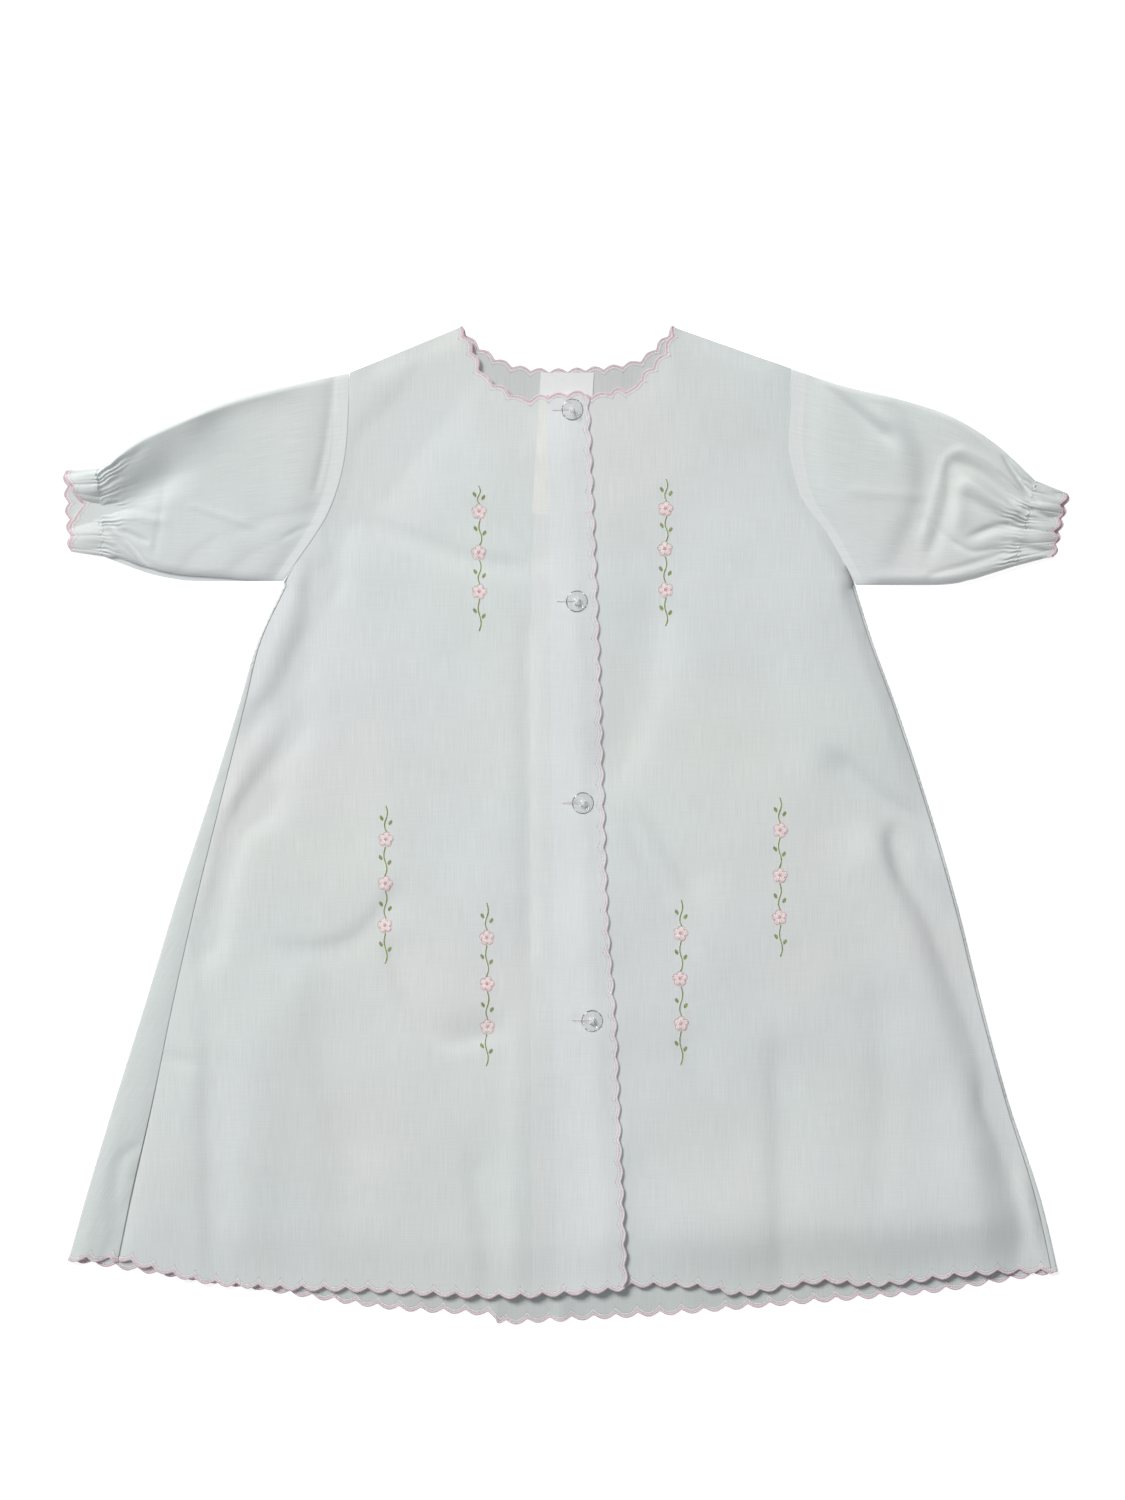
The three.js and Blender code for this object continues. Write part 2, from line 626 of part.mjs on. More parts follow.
// One ring of a sleeve: up and over from its top edge, then back along the flat underside
function sleeveRing(which, plan, at, inset) {
  const width = plan(at, 0).distanceTo(plan(at, 1));
  const ring = [];
  const put = (v, z, upper) => {
    const inside = THREE.MathUtils.lerp(inset / width, 1 - inset / width, v);
    const place = plan(at, inside, upper);
    ring.push(new THREE.Vector3(place.x, place.y, z(inside)));
  };
  const top = (v) => {
    const height = sleeveTop(which, plan, at, v);
    if (!inset) return height;
    return THREE.MathUtils.clamp(height - CLOTH, CLOTH + GAP, CLOTH + SLEEVE_HOLLOW);
  };
  const floor = inset ? CLOTH : 0;
  const upperSteps = GATHERS * GATHER_STEPS;
  const margin = RING_MARGIN / width;
  put(0, (v) => (floor + top(v)) / 2, true);
  for (let i = 0; i <= upperSteps; i++) {
    const v = THREE.MathUtils.clamp(i / upperSteps, margin, 1 - margin);
    put(v, top, true);
  }
  put(1, (v) => (floor + top(v)) / 2, true);
  for (let i = FLAT_STEPS; i >= 0; i--) {
    const v = THREE.MathUtils.clamp(i / FLAT_STEPS, margin, 1 - margin);
    put(v, () => floor, false);
  }
  return ring;
}

function makeSleeve(which) {
  const plan = sleevePlan(which);
  const outer = STATIONS.map(({ at }) => sleeveRing(which, plan, at, 0));
  const inner = STATIONS.map(({ at }) => sleeveRing(which, plan, at, CLOTH));
  const rings = [...outer, ...inner.reverse()];
  const around = rings[0].length;
  const position = new Float32Array(rings.flat().flatMap((at) => at.toArray()));
  const index = [];
  rings.forEach((ring, r) => {
    const next = (r + 1) % rings.length;
    for (let i = 0; i < around; i++) {
      const j = (i + 1) % around;
      const [a, b] = [r * around + i, r * around + j];
      const [c, d] = [next * around + i, next * around + j];
      if (which === 'left') index.push(a, b, d, a, d, c);
      else index.push(a, d, b, a, c, d);
    }
  });
  return toGeometry(position, index);
}

// ---- Buttons --------------------------------------------------------------------------

function makeButton(x, y) {
  const { radius, rim, slope, thick, round, foot, shoulder, dish, crown, shank, steps } = BUTTON;
  const under = underHeight(x, y) + CLOTH / 2 + GAP;
  const seat = lapHeight(x, y) + CLOTH / 2 + GAP;
  const profile = [
    [0, under], [shank, under], [shank, seat], [radius - rim, seat],
    [radius - round, seat + foot], [radius, seat + thick / 2],
    [radius - round, seat + thick - shoulder],
    [radius - rim / 2, seat + thick], [radius - rim, seat + thick - round],
    [radius - rim - slope, seat + thick - dish], [0, seat + thick - dish - crown],
  ].map(point);
  const body = new THREE.LatheGeometry(profile, steps).rotateX(Math.PI / 2);
  const holes = [0, 1, 2, 3].map((i) => {
    const turn = Math.PI / 4 + (i * Math.PI) / 2;
    const { radius: bore, out, steps: sides } = BUTTON_HOLE;
    const hole = new THREE.CylinderGeometry(bore, bore, 4 * thick, sides).rotateX(Math.PI / 2);
    return hole.translate(out * Math.cos(turn), out * Math.sin(turn), seat + thick / 2);
  });
  return cut(body, holes).translate(x, y, 0);
}

// ---- The gown -------------------------------------------------------------------------

const cotton = new THREE.MeshStandardMaterial({ color: COLOURS.cotton, roughness: 0.95 });
const tape = new THREE.MeshStandardMaterial({ color: COLOURS.label, roughness: 0.8 });
const plastic = new THREE.MeshStandardMaterial({ color: COLOURS.button, roughness: 0.15 });

const gown = new THREE.Group();

function addPiece(name, geometry, material) {
  const piece = new THREE.Mesh(geometry, material);
  piece.name = name;
  gown.add(piece);
}

addPiece('back', makeBack(), cotton);
addPiece('front_right', makeRightFront(), cotton);
addPiece('front_left', makeLeftFront(), cotton);
addPiece('front_facing', makeFacing(), cotton);
addPiece('sleeve_right', makeSleeve('right'), cotton);
addPiece('sleeve_left', makeSleeve('left'), cotton);
addPiece('neck_label', makeLabel(), tape);
BUTTONS.forEach(([x, y], i) => addPiece(`button_${i + 1}`, makeButton(x, y), plastic));

export default gown;
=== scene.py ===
"""A newborn's daygown laid flat, finished in cloth, thread and plastic on its solid frame.

Millimetres until a mesh is made, then metres. +Y runs from hem to neck, +X to the wearer's
left and +Z up off the surface that the gown lies on.
"""

from math import cos, pi, radians, sin
from types import SimpleNamespace

import bpy
import numpy as np
from mathutils import Matrix, Vector
from mathutils.geometry import delaunay_2d_cdt
from mathutils.kdtree import KDTree


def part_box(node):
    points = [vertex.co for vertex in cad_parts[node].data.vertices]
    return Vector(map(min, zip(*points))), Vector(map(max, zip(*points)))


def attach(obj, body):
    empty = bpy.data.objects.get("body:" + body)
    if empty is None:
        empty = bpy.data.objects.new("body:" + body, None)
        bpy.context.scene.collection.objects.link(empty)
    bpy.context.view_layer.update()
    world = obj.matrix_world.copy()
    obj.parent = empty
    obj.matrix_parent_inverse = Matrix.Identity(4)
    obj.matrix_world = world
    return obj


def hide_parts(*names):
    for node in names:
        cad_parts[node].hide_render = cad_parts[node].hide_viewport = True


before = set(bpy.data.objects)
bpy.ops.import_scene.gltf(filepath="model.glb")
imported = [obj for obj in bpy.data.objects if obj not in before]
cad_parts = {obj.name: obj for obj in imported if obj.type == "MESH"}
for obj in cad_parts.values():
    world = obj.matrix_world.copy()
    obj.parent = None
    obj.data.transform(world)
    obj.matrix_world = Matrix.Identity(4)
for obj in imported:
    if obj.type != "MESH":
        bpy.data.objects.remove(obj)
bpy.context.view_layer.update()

# ---- Sizes ------------------------------------------------------------------------------

MM = 0.001
CLOTH = 0.36                     # thickness that the lawn is drawn with
BACK_Z = 0.5                     # middle of the back's cloth
FRONT_Z = 2.2                    # middle of a front's cloth at its seams
FOLD_RADIUS = (FRONT_Z - BACK_Z) / 2
FRONT_EASE = 1.3                 # how far the fronts stand off the back
EASE_IN = {"right": 22, "left": 30}        # how far from a seam they get there
LAP_LIFT = 2.2                   # rise of the lapping front above the one under it
FACING_LIFT = 0.8
LAP_RISE = (-105, -22)           # where along x the lapping front climbs
LAP_SETTLE = {"drop": 1.3, "over": 13, "hem_drop": -0.2, "to_hem": (-150, -232)}
LAP_STAYS = 0.4                  # share of the lap's rise that stays where the fronts settle
# The small waves that a fastened button pulls in the lap
BUTTON_PUCKER = {"high": 0.28, "to_side": 5, "half_wide": 9, "half_long": 5, "waves": (1.1, 0.25)}
FOLDS_AT_SEAM = {"left": 0.35, "over": 9}
TOP_SETTLE = {"over": 34, "left": 0.3}     # the fronts lie lower along the neck and shoulders
HEM_SETTLE = {"over": 30, "left": 0.5, "drop": 0.35}      # and along the hem
# The shoulder seams draw the fronts down to the back, between these distances from the middle
SHOULDER_DIP = {"deep": 1.25, "over": 6, "starts": (50, 58), "ends": (92, 106)}
SEAM = {"gap": 0.3, "dip": 0.35, "over": 2.4}
SEAM_AT_HEM = {"gap": 1.0, "dip": 1.15}    # how the right side's seam opens towards the hem
SEAM_OPENS = (-105, -212)
GRID = 3.0                       # mesh spacing on the body
EDGE_STEP = 3.0

# soft rounds the valley between two scallops, and cusp is how far a stitched line points in there
HEM_SCALLOP = {"pitch": 11, "depth": 2.5, "soft": 0.06, "cusp": 1.5}
EDGE_SCALLOP = {"pitch": 10.4, "depth": 1.7, "soft": 0.3, "cusp": 0.9}
NECK_SCALLOP = {"pitch": 9.2, "depth": 2.1, "soft": 0.12, "cusp": 0.9}
SCALLOP_STEPS = 14
CORNER_ROUND = 4.5

NECK_POINT = {"right": (-51.8, 249.8), "left": (52.2, 249.8)}
SHOULDER_TIP = {"right": (-108.2, 226.5), "left": (112.5, 228.5)}
UNDERARM = {"right": (-141.2, 122), "left": (144.2, 121)}
ARMHOLE = {
    "right": [(-109.8, 193.5), (-113.2, 173.5), (-119, 157), (-126, 145), (-134, 133.5)],
    "left": [(111.2, 195.5), (113.2, 178.5), (118.2, 163), (130, 146.5), (139, 131)],
}
UNDERARM_TRIM = 3


def table(names, rows):
    """Rows of values as objects with those names."""
    return [SimpleNamespace(**dict(zip(names.split(), row))) for row in rows]


# Outer edge of the gown, and how far the back wraps round it, at heights y
SIDES = table("y right right_wrap left left_wrap", [
    (-224, 251.5, 25.6, 245.8, 3),
    (-218, 249.6, 25, 244.6, 3),
    (-187, 240.8, 22.5, 237.2, 2.5),
    (-137, 225.8, 19, 220.8, 1.5),
    (-87, 210.2, 13.7, 207.2, 1.5),
    (-37, 195.2, 10, 194.8, 1.5),
    (13, 178.8, 6, 180.2, 1.5),
    (63, 163.2, 3, 163.8, 1.5),
    (93, 154.2, 1.5, 152.8, 1.5),
    (120, 141.6, 1.5, 144.3, 1.5),
])
SIDE_TOP = SIDES[-1].y
HEM_Y = {"right": -218, "left": -223.6}
SIGN = {"right": -1, "left": 1}

BACK_NECK = [(-43, 240.5), (-33, 234), (-23, 230.5), (-8, 229), (13, 230), (27, 231.5),
             (37, 234.5), (44, 240.5)]
BACK_HEM = [(-218, -222.5), (-158, -231.5), (-91, -241.5), (-41, -245), (-32.5, -249.2),
            (-8, -248), (52, -244.5), (112, -239.5), (179, -234), (212, -229)]
RIGHT_NECK = [(-45.8, 238.5), (-40.5, 226), (-31.2, 219.5), (-21.8, 214.5), (-10.8, 216)]
RIGHT_LAP = [(11.5, 218.2), (16.8, 88), (20.8, -37), (25, -97), (27.8, -162), (30.8, -232)]
RIGHT_HEM = [(-224, -217.4), (-185, -228), (-151, -231.5), (-99, -233), (-32, -236)]
LEFT_NECK = [(15, 216.5), (24, 219), (33.5, 219.5), (36, 224.5), (42, 230.5), (48, 238)]
LEFT_EDGE = [(-10, 215.5), (-7.2, 13), (-5.2, -232)]
LEFT_HEM = [(33, -230.5), (64, -230.8), (87, -234.8), (107, -231.5), (129, -228.5),
            (157, -230), (204, -224.6)]
FACING_EDGE = [(-12.8, 213), (-17.8, 103), (-17.8, -87), (-17, -231)]
FACING_SETBACK = 4
LABEL = {"width": 26.5, "length": 71, "x": 0.5, "top": 226.5, "lean": -4.5, "z": 1.0}

# Soft folds of the body, as ridges where high is above zero, or else troughs, along a path.
# left and right are how far each reaches to the sides of its run, and sharp is 2 for a soft roll
# and 1 for a crease. They run downwards, so that their left is the side away from the light.
FOLDS = "path left right high sharp"
BODY_FOLDS = table(FOLDS, [
    (((-56, 238), (-72, 214), (-90, 190), (-100, 178)), 24, 14, -3.4),
    (((-117, 154), (-115, 140), (-117, 126)), 9, 4.5, -1.8),
    (((-28, 130), (-46, 133), (-64, 139), (-86, 147), (-104, 157), (-118, 166)), 7, 4, -1.0),
    (((-42, 156), (-30, 146), (-16, 133)), 4, 3, -0.9),
    (((-126, 117), (-127, 106), (-132, 89), (-137, 76), (-143, 64), (-153, 55)), 14, 6, -2.4),
    (((-137, 118), (-140, 104), (-146, 90), (-151, 78), (-158, 68)), 6, 8, 1.0),
    (((-137, 47), (-144, 35), (-151, 24), (-157, 15)), 10, 5, -2.2),
    (((-150, 52), (-157, 40), (-163, 28), (-167, 18)), 5, 7, 0.9),
    (((-151, 11), (-160, 4), (-167, -3), (-170, -14), (-172, -26), (-179, -54)), 10, 5, -2.1),
    (((-170, 12), (-175, 0), (-178, -12), (-181, -26)), 4, 5, 0.7),
    (((-89, -38), (-98, -49), (-110, -58), (-124, -61.5), (-133, -61)), 9, 4, -1.0),
    (((-86, -66), (-81, -81), (-74, -94.5), (-65, -104), (-55, -107.5), (-43, -104.5)), 9, 5, -1.2),
    (((-20, 95), (-19.5, 20), (-19, -60)), 4, 4, -0.6),
    (((-24, -108), (-25, -170), (-26, -238)), 14, 6, 0.9),
    (((-45, -176), (-41, -205), (-39, -238)), 10, 5, -1.0),
    (((-121, -78), (-124, -100), (-116, -140), (-112, -180)), 16, 9, -0.9),
    (((-179, -122), (-178.5, -150), (-178, -190), (-176, -236)), 12, 4.5, -1.1),
    (((-181, -58), (-180, -100)), 8, 5, -0.7),
    (((-190, -118), (-198, -115), (-203, -112)), 3, 3, -0.8),
    (((42, 98), (41, 76), (35, 55), (28, 40)), 11, 18, -1.6),
    (((26, 26), (38, 12), (48, -6), (60, -26)), 12, 4, -1.4),
    (((32, -2), (38, -18), (46, -32)), 6, 3, -0.6),
    (((84, 72), (96, 60), (106, 44)), 10, 8, -0.9),
    (((136, 124), (150, 95), (166, 58)), 10, 46, 3.0),
    (((140, 28), (156, 14), (170, 4), (184, -6)), 5, 9, -2.4),
    (((155, -16), (172, -55), (186, -95), (198, -130), (210, -155)), 6, 16, 2.4),
    (((165, -11), (169, -24), (181, -41), (191, -65), (203, -95), (215, -132), (222, -148),
      (231, -161)), 4, 4.5, -4.0),
    (((190, -44), (196, -54), (200, -62)), 2.5, 2.5, -0.8),
    (((199, -84), (207, -94)), 2.5, 2.5, -0.8),
    (((215, -142), (220, -162), (224, -180), (228, -197), (232, -222)), 5, 11, -4.6),
    (((198, -150), (204, -190), (208, -230)), 9, 14, 1.6),
    (((236, -206), (237, -224)), 3, 2.5, -0.9),
    (((240, -192), (160, -196), (74, -202)), 28, 30, 4.2),
    (((106, -120), (107, -180), (108, -238)), 16, 6, -1.4),
    (((62, -112), (70, -132), (84, -156)), 8, 6, -0.7),
    (((156, -92), (158, -130), (156, -180)), 9, 7, -0.7),
    (((139, 142), (139, 120)), 4, 6, 0.9),
    (((62, 236), (76, 212), (88, 188)), 14, 10, -0.7),
    (((-98, 64), (-92, 20), (-84, -20)), 20, 16, 0.8),
    (((-150, -100), (-158, -150), (-162, -200)), 16, 16, 1.0),
    (((24, -168), (20, -200), (18, -238)), 8, 14, 0.9),
])

# ---- Lines ------------------------------------------------------------------------------


def smooth(low, high, x):
    """0 below low and 1 above high, and an easy step between them."""
    t = np.clip((x - low) / (high - low), 0, 1)
    return t * t * (3 - 2 * t)


def hermite(t, a, b, slope_a, slope_b):
    """The cubic from a to b with those slopes, at t from 0 to 1."""
    return (
        (2 * t**3 - 3 * t**2 + 1) * a + (t**3 - 2 * t**2 + t) * slope_a
        + (3 * t**2 - 2 * t**3) * b + (t**3 - t**2) * slope_b
    )


def through(knots, steps=24):
    """Points close together on the smooth curve through a few."""
    knots = np.asarray(knots, float)
    beyond = np.vstack([knots[:1], knots, knots[-1:]])
    slope = (beyond[2:] - beyond[:-2]) / 2
    t = np.linspace(0, 1, steps, endpoint=False)[None, :, None]
    line = hermite(t, *(part[:, None] for part in (knots[:-1], knots[1:], slope[:-1], slope[1:])))
    return np.vstack([line.reshape(-1, 2), knots[-1:]])


def run_of(line):
    """How far along a line each of its points is."""
    return np.append(0, np.cumsum(np.linalg.norm(np.diff(line, axis=0), axis=1)))


def share_of(line, share):
    """Points at those shares of a line's length."""
    run = run_of(line)
    at = np.asarray(share) * run[-1]
    return np.stack([np.interp(at, run, column) for column in line.T], -1)


def reading(rows, name):
    """The column of a table as a smooth function of y."""
    y = np.array([row.y for row in rows], float)
    value = np.array([getattr(row, name) for row in rows], float)
    slope = np.gradient(value, y)

    def read(at):
        at = np.clip(at, y[0], y[-1])
        i = np.clip(np.searchsorted(y, at) - 1, 0, len(y) - 2)
        gap = y[i + 1] - y[i]
        return hermite((at - y[i]) / gap, value[i], value[i + 1], slope[i] * gap,
                       slope[i + 1] * gap)

    return read


def left_of(line):
    """The way to the left of a line at each point, one unit long."""
    way = np.gradient(line, axis=0)
    way /= np.linalg.norm(way, axis=1)[:, None]
    return np.stack([-way[:, 1], way[:, 0]], 1)


def x_at(line, y):
    """Where a line that runs down the gown is at height y."""
    line = line[np.argsort(line[:, 1])]
    return np.interp(y, line[:, 1], line[:, 0])


def folds_at(folds, x, y):
    """Height that a table of folds adds at each place."""
    place = np.stack([x, y], -1)
    total = np.zeros(np.shape(x))
    for fold in folds:
        line = through(fold.path, 8)
        reach = 3 * max(fold.left, fold.right)
        near = ((place > line.min(0) - reach) & (place < line.max(0) + reach)).all(-1)
        here = place[near]
        closest = ((here[:, None] - line) ** 2).sum(-1).argmin(1)
        offset, left = here - line[closest], left_of(line)[closest]
        across = (offset * left).sum(-1)
        at_end = (closest == 0) | (closest == len(line) - 1)
        past = np.where(at_end, offset[:, 0] * left[:, 1] - offset[:, 1] * left[:, 0], 0)
        half = np.where(across > 0, fold.left, fold.right)
        form = (np.abs(across) / half) ** getattr(fold, "sharp", 2)
        run_out = past / (3 + 0.6 * (fold.left + fold.right))
        total[near] += fold.high * np.exp(-form - run_out ** 2)
    return total


def ripples(seed, count, waves, steep):
    """A gentle unevenness: waves of random lengths and ways, each as steep as the others."""
    random = np.random.default_rng(seed)
    length = random.uniform(*waves, count)
    turn = random.uniform(0, pi, count)
    phase = random.uniform(0, 2 * pi, count)

    def height(x, y):
        total = np.zeros_like(x, float)
        for a, b, c in zip(length, turn, phase):
            total += a * np.sin(2 * pi * (x * cos(b) + y * sin(b)) / a + c)
        return total * steep / (2 * pi * np.sqrt(count))

    return height


# ---- Cut pieces ---------------------------------------------------------------------------


def side(line, scallop=None, thread="rim"):
    """One side of a cut piece, run with the cloth on its left, plain or scalloped."""
    line = np.asarray(line, float)
    length = run_of(line)[-1]
    if scallop is None:
        count = max(1, round(length / EDGE_STEP))
        return SimpleNamespace(points=share_of(line, np.linspace(0, 1, count + 1)), rim=None)
    bumps = max(1, round(length / scallop["pitch"]))
    place = np.linspace(0, bumps, bumps * SCALLOP_STEPS + 1)
    bump = np.hypot(np.cos(pi * place), scallop["soft"]) / np.hypot(1, scallop["soft"])
    points = share_of(line, place / bumps)
    inward = left_of(points)
    points = points + inward * (scallop["depth"] * (1 - bump))[:, None]
    rim = SimpleNamespace(points=points, inward=inward, bump=bump, cusp=scallop["cusp"],
                          thread=thread)
    return SimpleNamespace(points=points, rim=rim)


def rounded_corner(first, second):
    """Two lines that meet, the second of which now starts with an arc in place of the corner."""
    lengths = [run_of(line)[-1] for line in (first, second)]
    kept = share_of(first, np.linspace(0, 1 - CORNER_ROUND / lengths[0], len(first)))
    rest = share_of(second, np.linspace(CORNER_ROUND / lengths[1], 1, len(second)))
    t = np.linspace(0, 1, 9)[:, None]
    arc = (1 - t) ** 2 * kept[-1] + 2 * t * (1 - t) * first[-1] + t * t * rest[0]
    return kept, np.vstack([arc[:-1], rest])


def cut_piece(*sides):
    """The closed outline that a few sides make end to end, and its scalloped rims."""
    loop = np.vstack([part.points[:-1] for part in sides])
    return SimpleNamespace(loop=loop, rims=[part.rim for part in sides if part.rim])


def area_of(loop):
    """Area inside a closed line."""
    x, y = loop.T
    return abs(np.dot(x, np.roll(y, 1)) - np.dot(y, np.roll(x, 1))) / 2


def rows_inside(loop, spacing):
    """Points in even staggered rows inside a closed line."""
    ends = np.roll(loop, -1, axis=0)
    found = []
    rise = spacing * sin(radians(60))
    for row, y in enumerate(np.arange(loop[:, 1].min() + rise / 2, loop[:, 1].max(), rise)):
        over = (loop[:, 1] > y) != (ends[:, 1] > y)
        a, b = loop[over], ends[over]
        crossing = np.sort(a[:, 0] + (y - a[:, 1]) * (b[:, 0] - a[:, 0]) / (b[:, 1] - a[:, 1]))
        for low, high in zip(crossing[::2], crossing[1::2]):
            x = np.arange(np.ceil(low / spacing), high / spacing) * spacing + row % 2 * spacing / 2
            found.append(np.stack([x[x < high], np.full((x < high).sum(), y)], 1))
    return np.vstack(found)


def inside(loop, x, y):
    """Whether a place is inside a closed line."""
    ends = np.roll(loop, -1, axis=0)
    over = (loop[:, 1] > y) != (ends[:, 1] > y)
    a, b = loop[over], ends[over]
    crossing = a[:, 0] + (y - a[:, 1]) * (b[:, 0] - a[:, 0]) / (b[:, 1] - a[:, 1])
    return (crossing > x).sum() % 2 == 1


def fill(loop, spacing, columns=(), holes=()):
    """Triangles that fill an outline: its own points, columns of given ones, and even rows."""
    fixed = [loop, *holes]
    given = np.vstack([*fixed, *columns])
    near = KDTree(len(given))
    for i, (x, y) in enumerate(given):
        near.insert((x, y, 0), i)
    near.balance()
    apart = 0.62 * spacing
    rows = [p for p in rows_inside(loop, spacing) if near.find((*p, 0))[2] > apart]
    points = np.vstack([given, rows])
    edges, start = [], 0
    for line in fixed:
        count = len(line)
        edges += [(start + i, start + (i + 1) % count) for i in range(count)]
        start += count
    outline = [list(range(len(loop)))]
    places, _, faces, *_ = delaunay_2d_cdt([Vector(p) for p in points], edges, outline, 1, 1e-6)
    places = np.array([tuple(p) for p in places])
    faces = np.array(faces)
    middle = places[faces].mean(1)
    for hole in holes:
        close = np.abs(middle - hole.mean(0)).max(1) < np.ptp(hole, axis=0).max()
        cut = [i for i in np.flatnonzero(close) if inside(hole, *middle[i])]
        faces = np.delete(faces, cut, axis=0)
        middle = np.delete(middle, cut, axis=0)
    a, b, c = (places[faces[:, i]] for i in range(3))
    turned = np.cross(b - a, c - a) < 0
    faces[turned] = faces[turned][:, ::-1]
    return places, faces


# ---- Meshes -------------------------------------------------------------------------------

# What lies doubled under the cloth, as distances inside its edge
LAYERS_UNDER = ("doubled", "lined", "tripled", "taped")
FAR_OUTSIDE = -50.0


def make_object(name, vertices, faces, material, grain=None, under=None):
    """A mesh object in metres, with its grain as a UV map and what lies under it."""
    mesh = bpy.data.meshes.new(name)
    mesh.from_pydata((np.asarray(vertices) * MM).tolist(), [], faces)
    mesh.materials.append(material)
    mesh.shade_smooth()
    mesh.set_sharp_from_angle(angle=radians(55))
    if grain is not None:
        corner = np.empty(len(mesh.loops), int)
        mesh.loops.foreach_get("vertex_index", corner)
        layer = mesh.uv_layers.new(name="grain")
        layer.uv.foreach_set("vector", (np.asarray(grain)[corner] * MM).astype(np.float32).ravel())
        for layer_name in LAYERS_UNDER:
            values = (under or {}).get(layer_name, np.full(len(vertices), FAR_OUTSIDE))
            mesh.attributes.new(layer_name, "FLOAT", "POINT").data.foreach_set(
                "value", np.asarray(values, np.float32)
            )
    made = bpy.data.objects.new(name, mesh)
    bpy.context.collection.objects.link(made)
    return made


def make_shell(name, pattern, place, material, thick=CLOTH, under=None):
    """Cloth on a filled pattern. place gives the middle of the cloth and the way it faces."""
    points, faces = pattern
    middle, facing = place(*points.T)
    vertices = np.vstack([middle + facing * thick / 2, middle - facing * thick / 2])
    count = len(points)
    ways = {(int(a), int(b)) for face in faces for a, b in zip(face, np.roll(face, -1))}
    rim = [(b, a, count + a, count + b) for a, b in ways if (b, a) not in ways]
    everything = [*faces.tolist(), *(faces[:, ::-1] + count).tolist(), *rim]
    under = {key: np.tile(value(*points.T), 2) for key, value in (under or {}).items()}
    return make_object(name, vertices, everything, material, np.tile(points, (2, 1)), under)


# ---- Node trees ---------------------------------------------------------------------------


def add(tree, kind, values=(), **settings):
    """A node with its settings. An input is linked where its value is a socket, or else set."""
    node = tree.nodes.new(kind)
    for key, value in settings.items():
        setattr(node, key, value)
    for key, value in dict(values).items():
        if isinstance(value, bpy.types.NodeSocket):
            tree.links.new(value, node.inputs[key])
        else:
            node.inputs[key].default_value = value
    return node


def math(tree, operation, *values):
    """A Math node's result."""
    return add(tree, "ShaderNodeMath", enumerate(values), operation=operation).outputs[0]


def blend(tree, share, first, second, way="MIX"):
    """Two colours mixed by a share."""
    node = add(tree, "ShaderNodeMix", {0: share, 6: first, 7: second}, data_type="RGBA",
               blend_type=way)
    return node.outputs[2]


def spread(tree, value, low, high, to_low=0.0, to_high=1.0):
    """A value between low and high carried over to another range."""
    node = add(tree, "ShaderNodeMapRange", {0: value, 1: low, 2: high, 3: to_low, 4: to_high})
    return node.outputs[0]


def paint(red, green, blue):
    """A colour from its screen values."""
    share = np.array([red, green, blue]) / 255
    linear = np.where(share <= 0.04045, share / 12.92, ((share + 0.055) / 1.055) ** 2.4)
    return (*linear.tolist(), 1.0)


def new_group(kind, name, inputs, outputs):
    """An empty node group with its named sockets, and its input and output nodes."""
    tree = bpy.data.node_groups.new(name, kind)
    for way, sockets in (("INPUT", inputs), ("OUTPUT", outputs)):
        for label, (socket, value) in sockets.items():
            made = tree.interface.new_socket(label, in_out=way, socket_type="NodeSocket" + socket)
            if value is not None:
                made.default_value = value
    return tree, add(tree, "NodeGroupInput").outputs, add(tree, "NodeGroupOutput").inputs


def make_weave():
    """Plain weave with slubs: thread-wide streaks along the cloth and a fine raised check."""
    tree, given, out = new_group(
        "ShaderNodeTree", "plain weave",
        {"Grain": ("Vector", None), "Thread": ("Float", 0.36), "Slub": ("Float", 14.0)},
        {"Streak": ("Float", None), "Height": ("Float", None)},
    )
    part = add(tree, "ShaderNodeSeparateXYZ", {0: given["Grain"]}).outputs
    across = math(tree, "DIVIDE", part[0], math(tree, "MULTIPLY", given["Thread"], MM))
    along = math(tree, "DIVIDE", part[1], math(tree, "MULTIPLY", given["Thread"], MM))
    slub = math(tree, "DIVIDE", part[1], math(tree, "MULTIPLY", given["Slub"], MM))
    weft = math(tree, "DIVIDE", part[0], math(tree, "MULTIPLY", given["Slub"], MM))
    warp_place = add(tree, "ShaderNodeCombineXYZ", {0: across, 1: slub}).outputs[0]
    weft_place = add(tree, "ShaderNodeCombineXYZ", {0: weft, 1: along}).outputs[0]
    detail = {"Scale": 0.8, "Detail": 2.0, "Roughness": 0.6}
    warp = add(tree, "ShaderNodeTexNoise", {"Vector": warp_place, **detail}).outputs[0]
    cross = add(tree, "ShaderNodeTexNoise", {"Vector": weft_place, **detail}).outputs[0]
    both = math(tree, "ADD", math(tree, "MULTIPLY", warp, 0.68),
                math(tree, "MULTIPLY", cross, 0.32))
    tree.links.new(both, out["Streak"])
    ups = math(tree, "SINE", math(tree, "MULTIPLY", math(tree, "ADD", across, along), pi))
    overs = math(tree, "SINE", math(tree, "MULTIPLY", math(tree, "SUBTRACT", across, along), pi))
    check = math(tree, "MULTIPLY", ups, overs)
    raised = math(tree, "ADD", math(tree, "MULTIPLY", check, 0.3),
                  math(tree, "MULTIPLY", both, 1.4))
    tree.links.new(raised, out["Height"])
    return tree


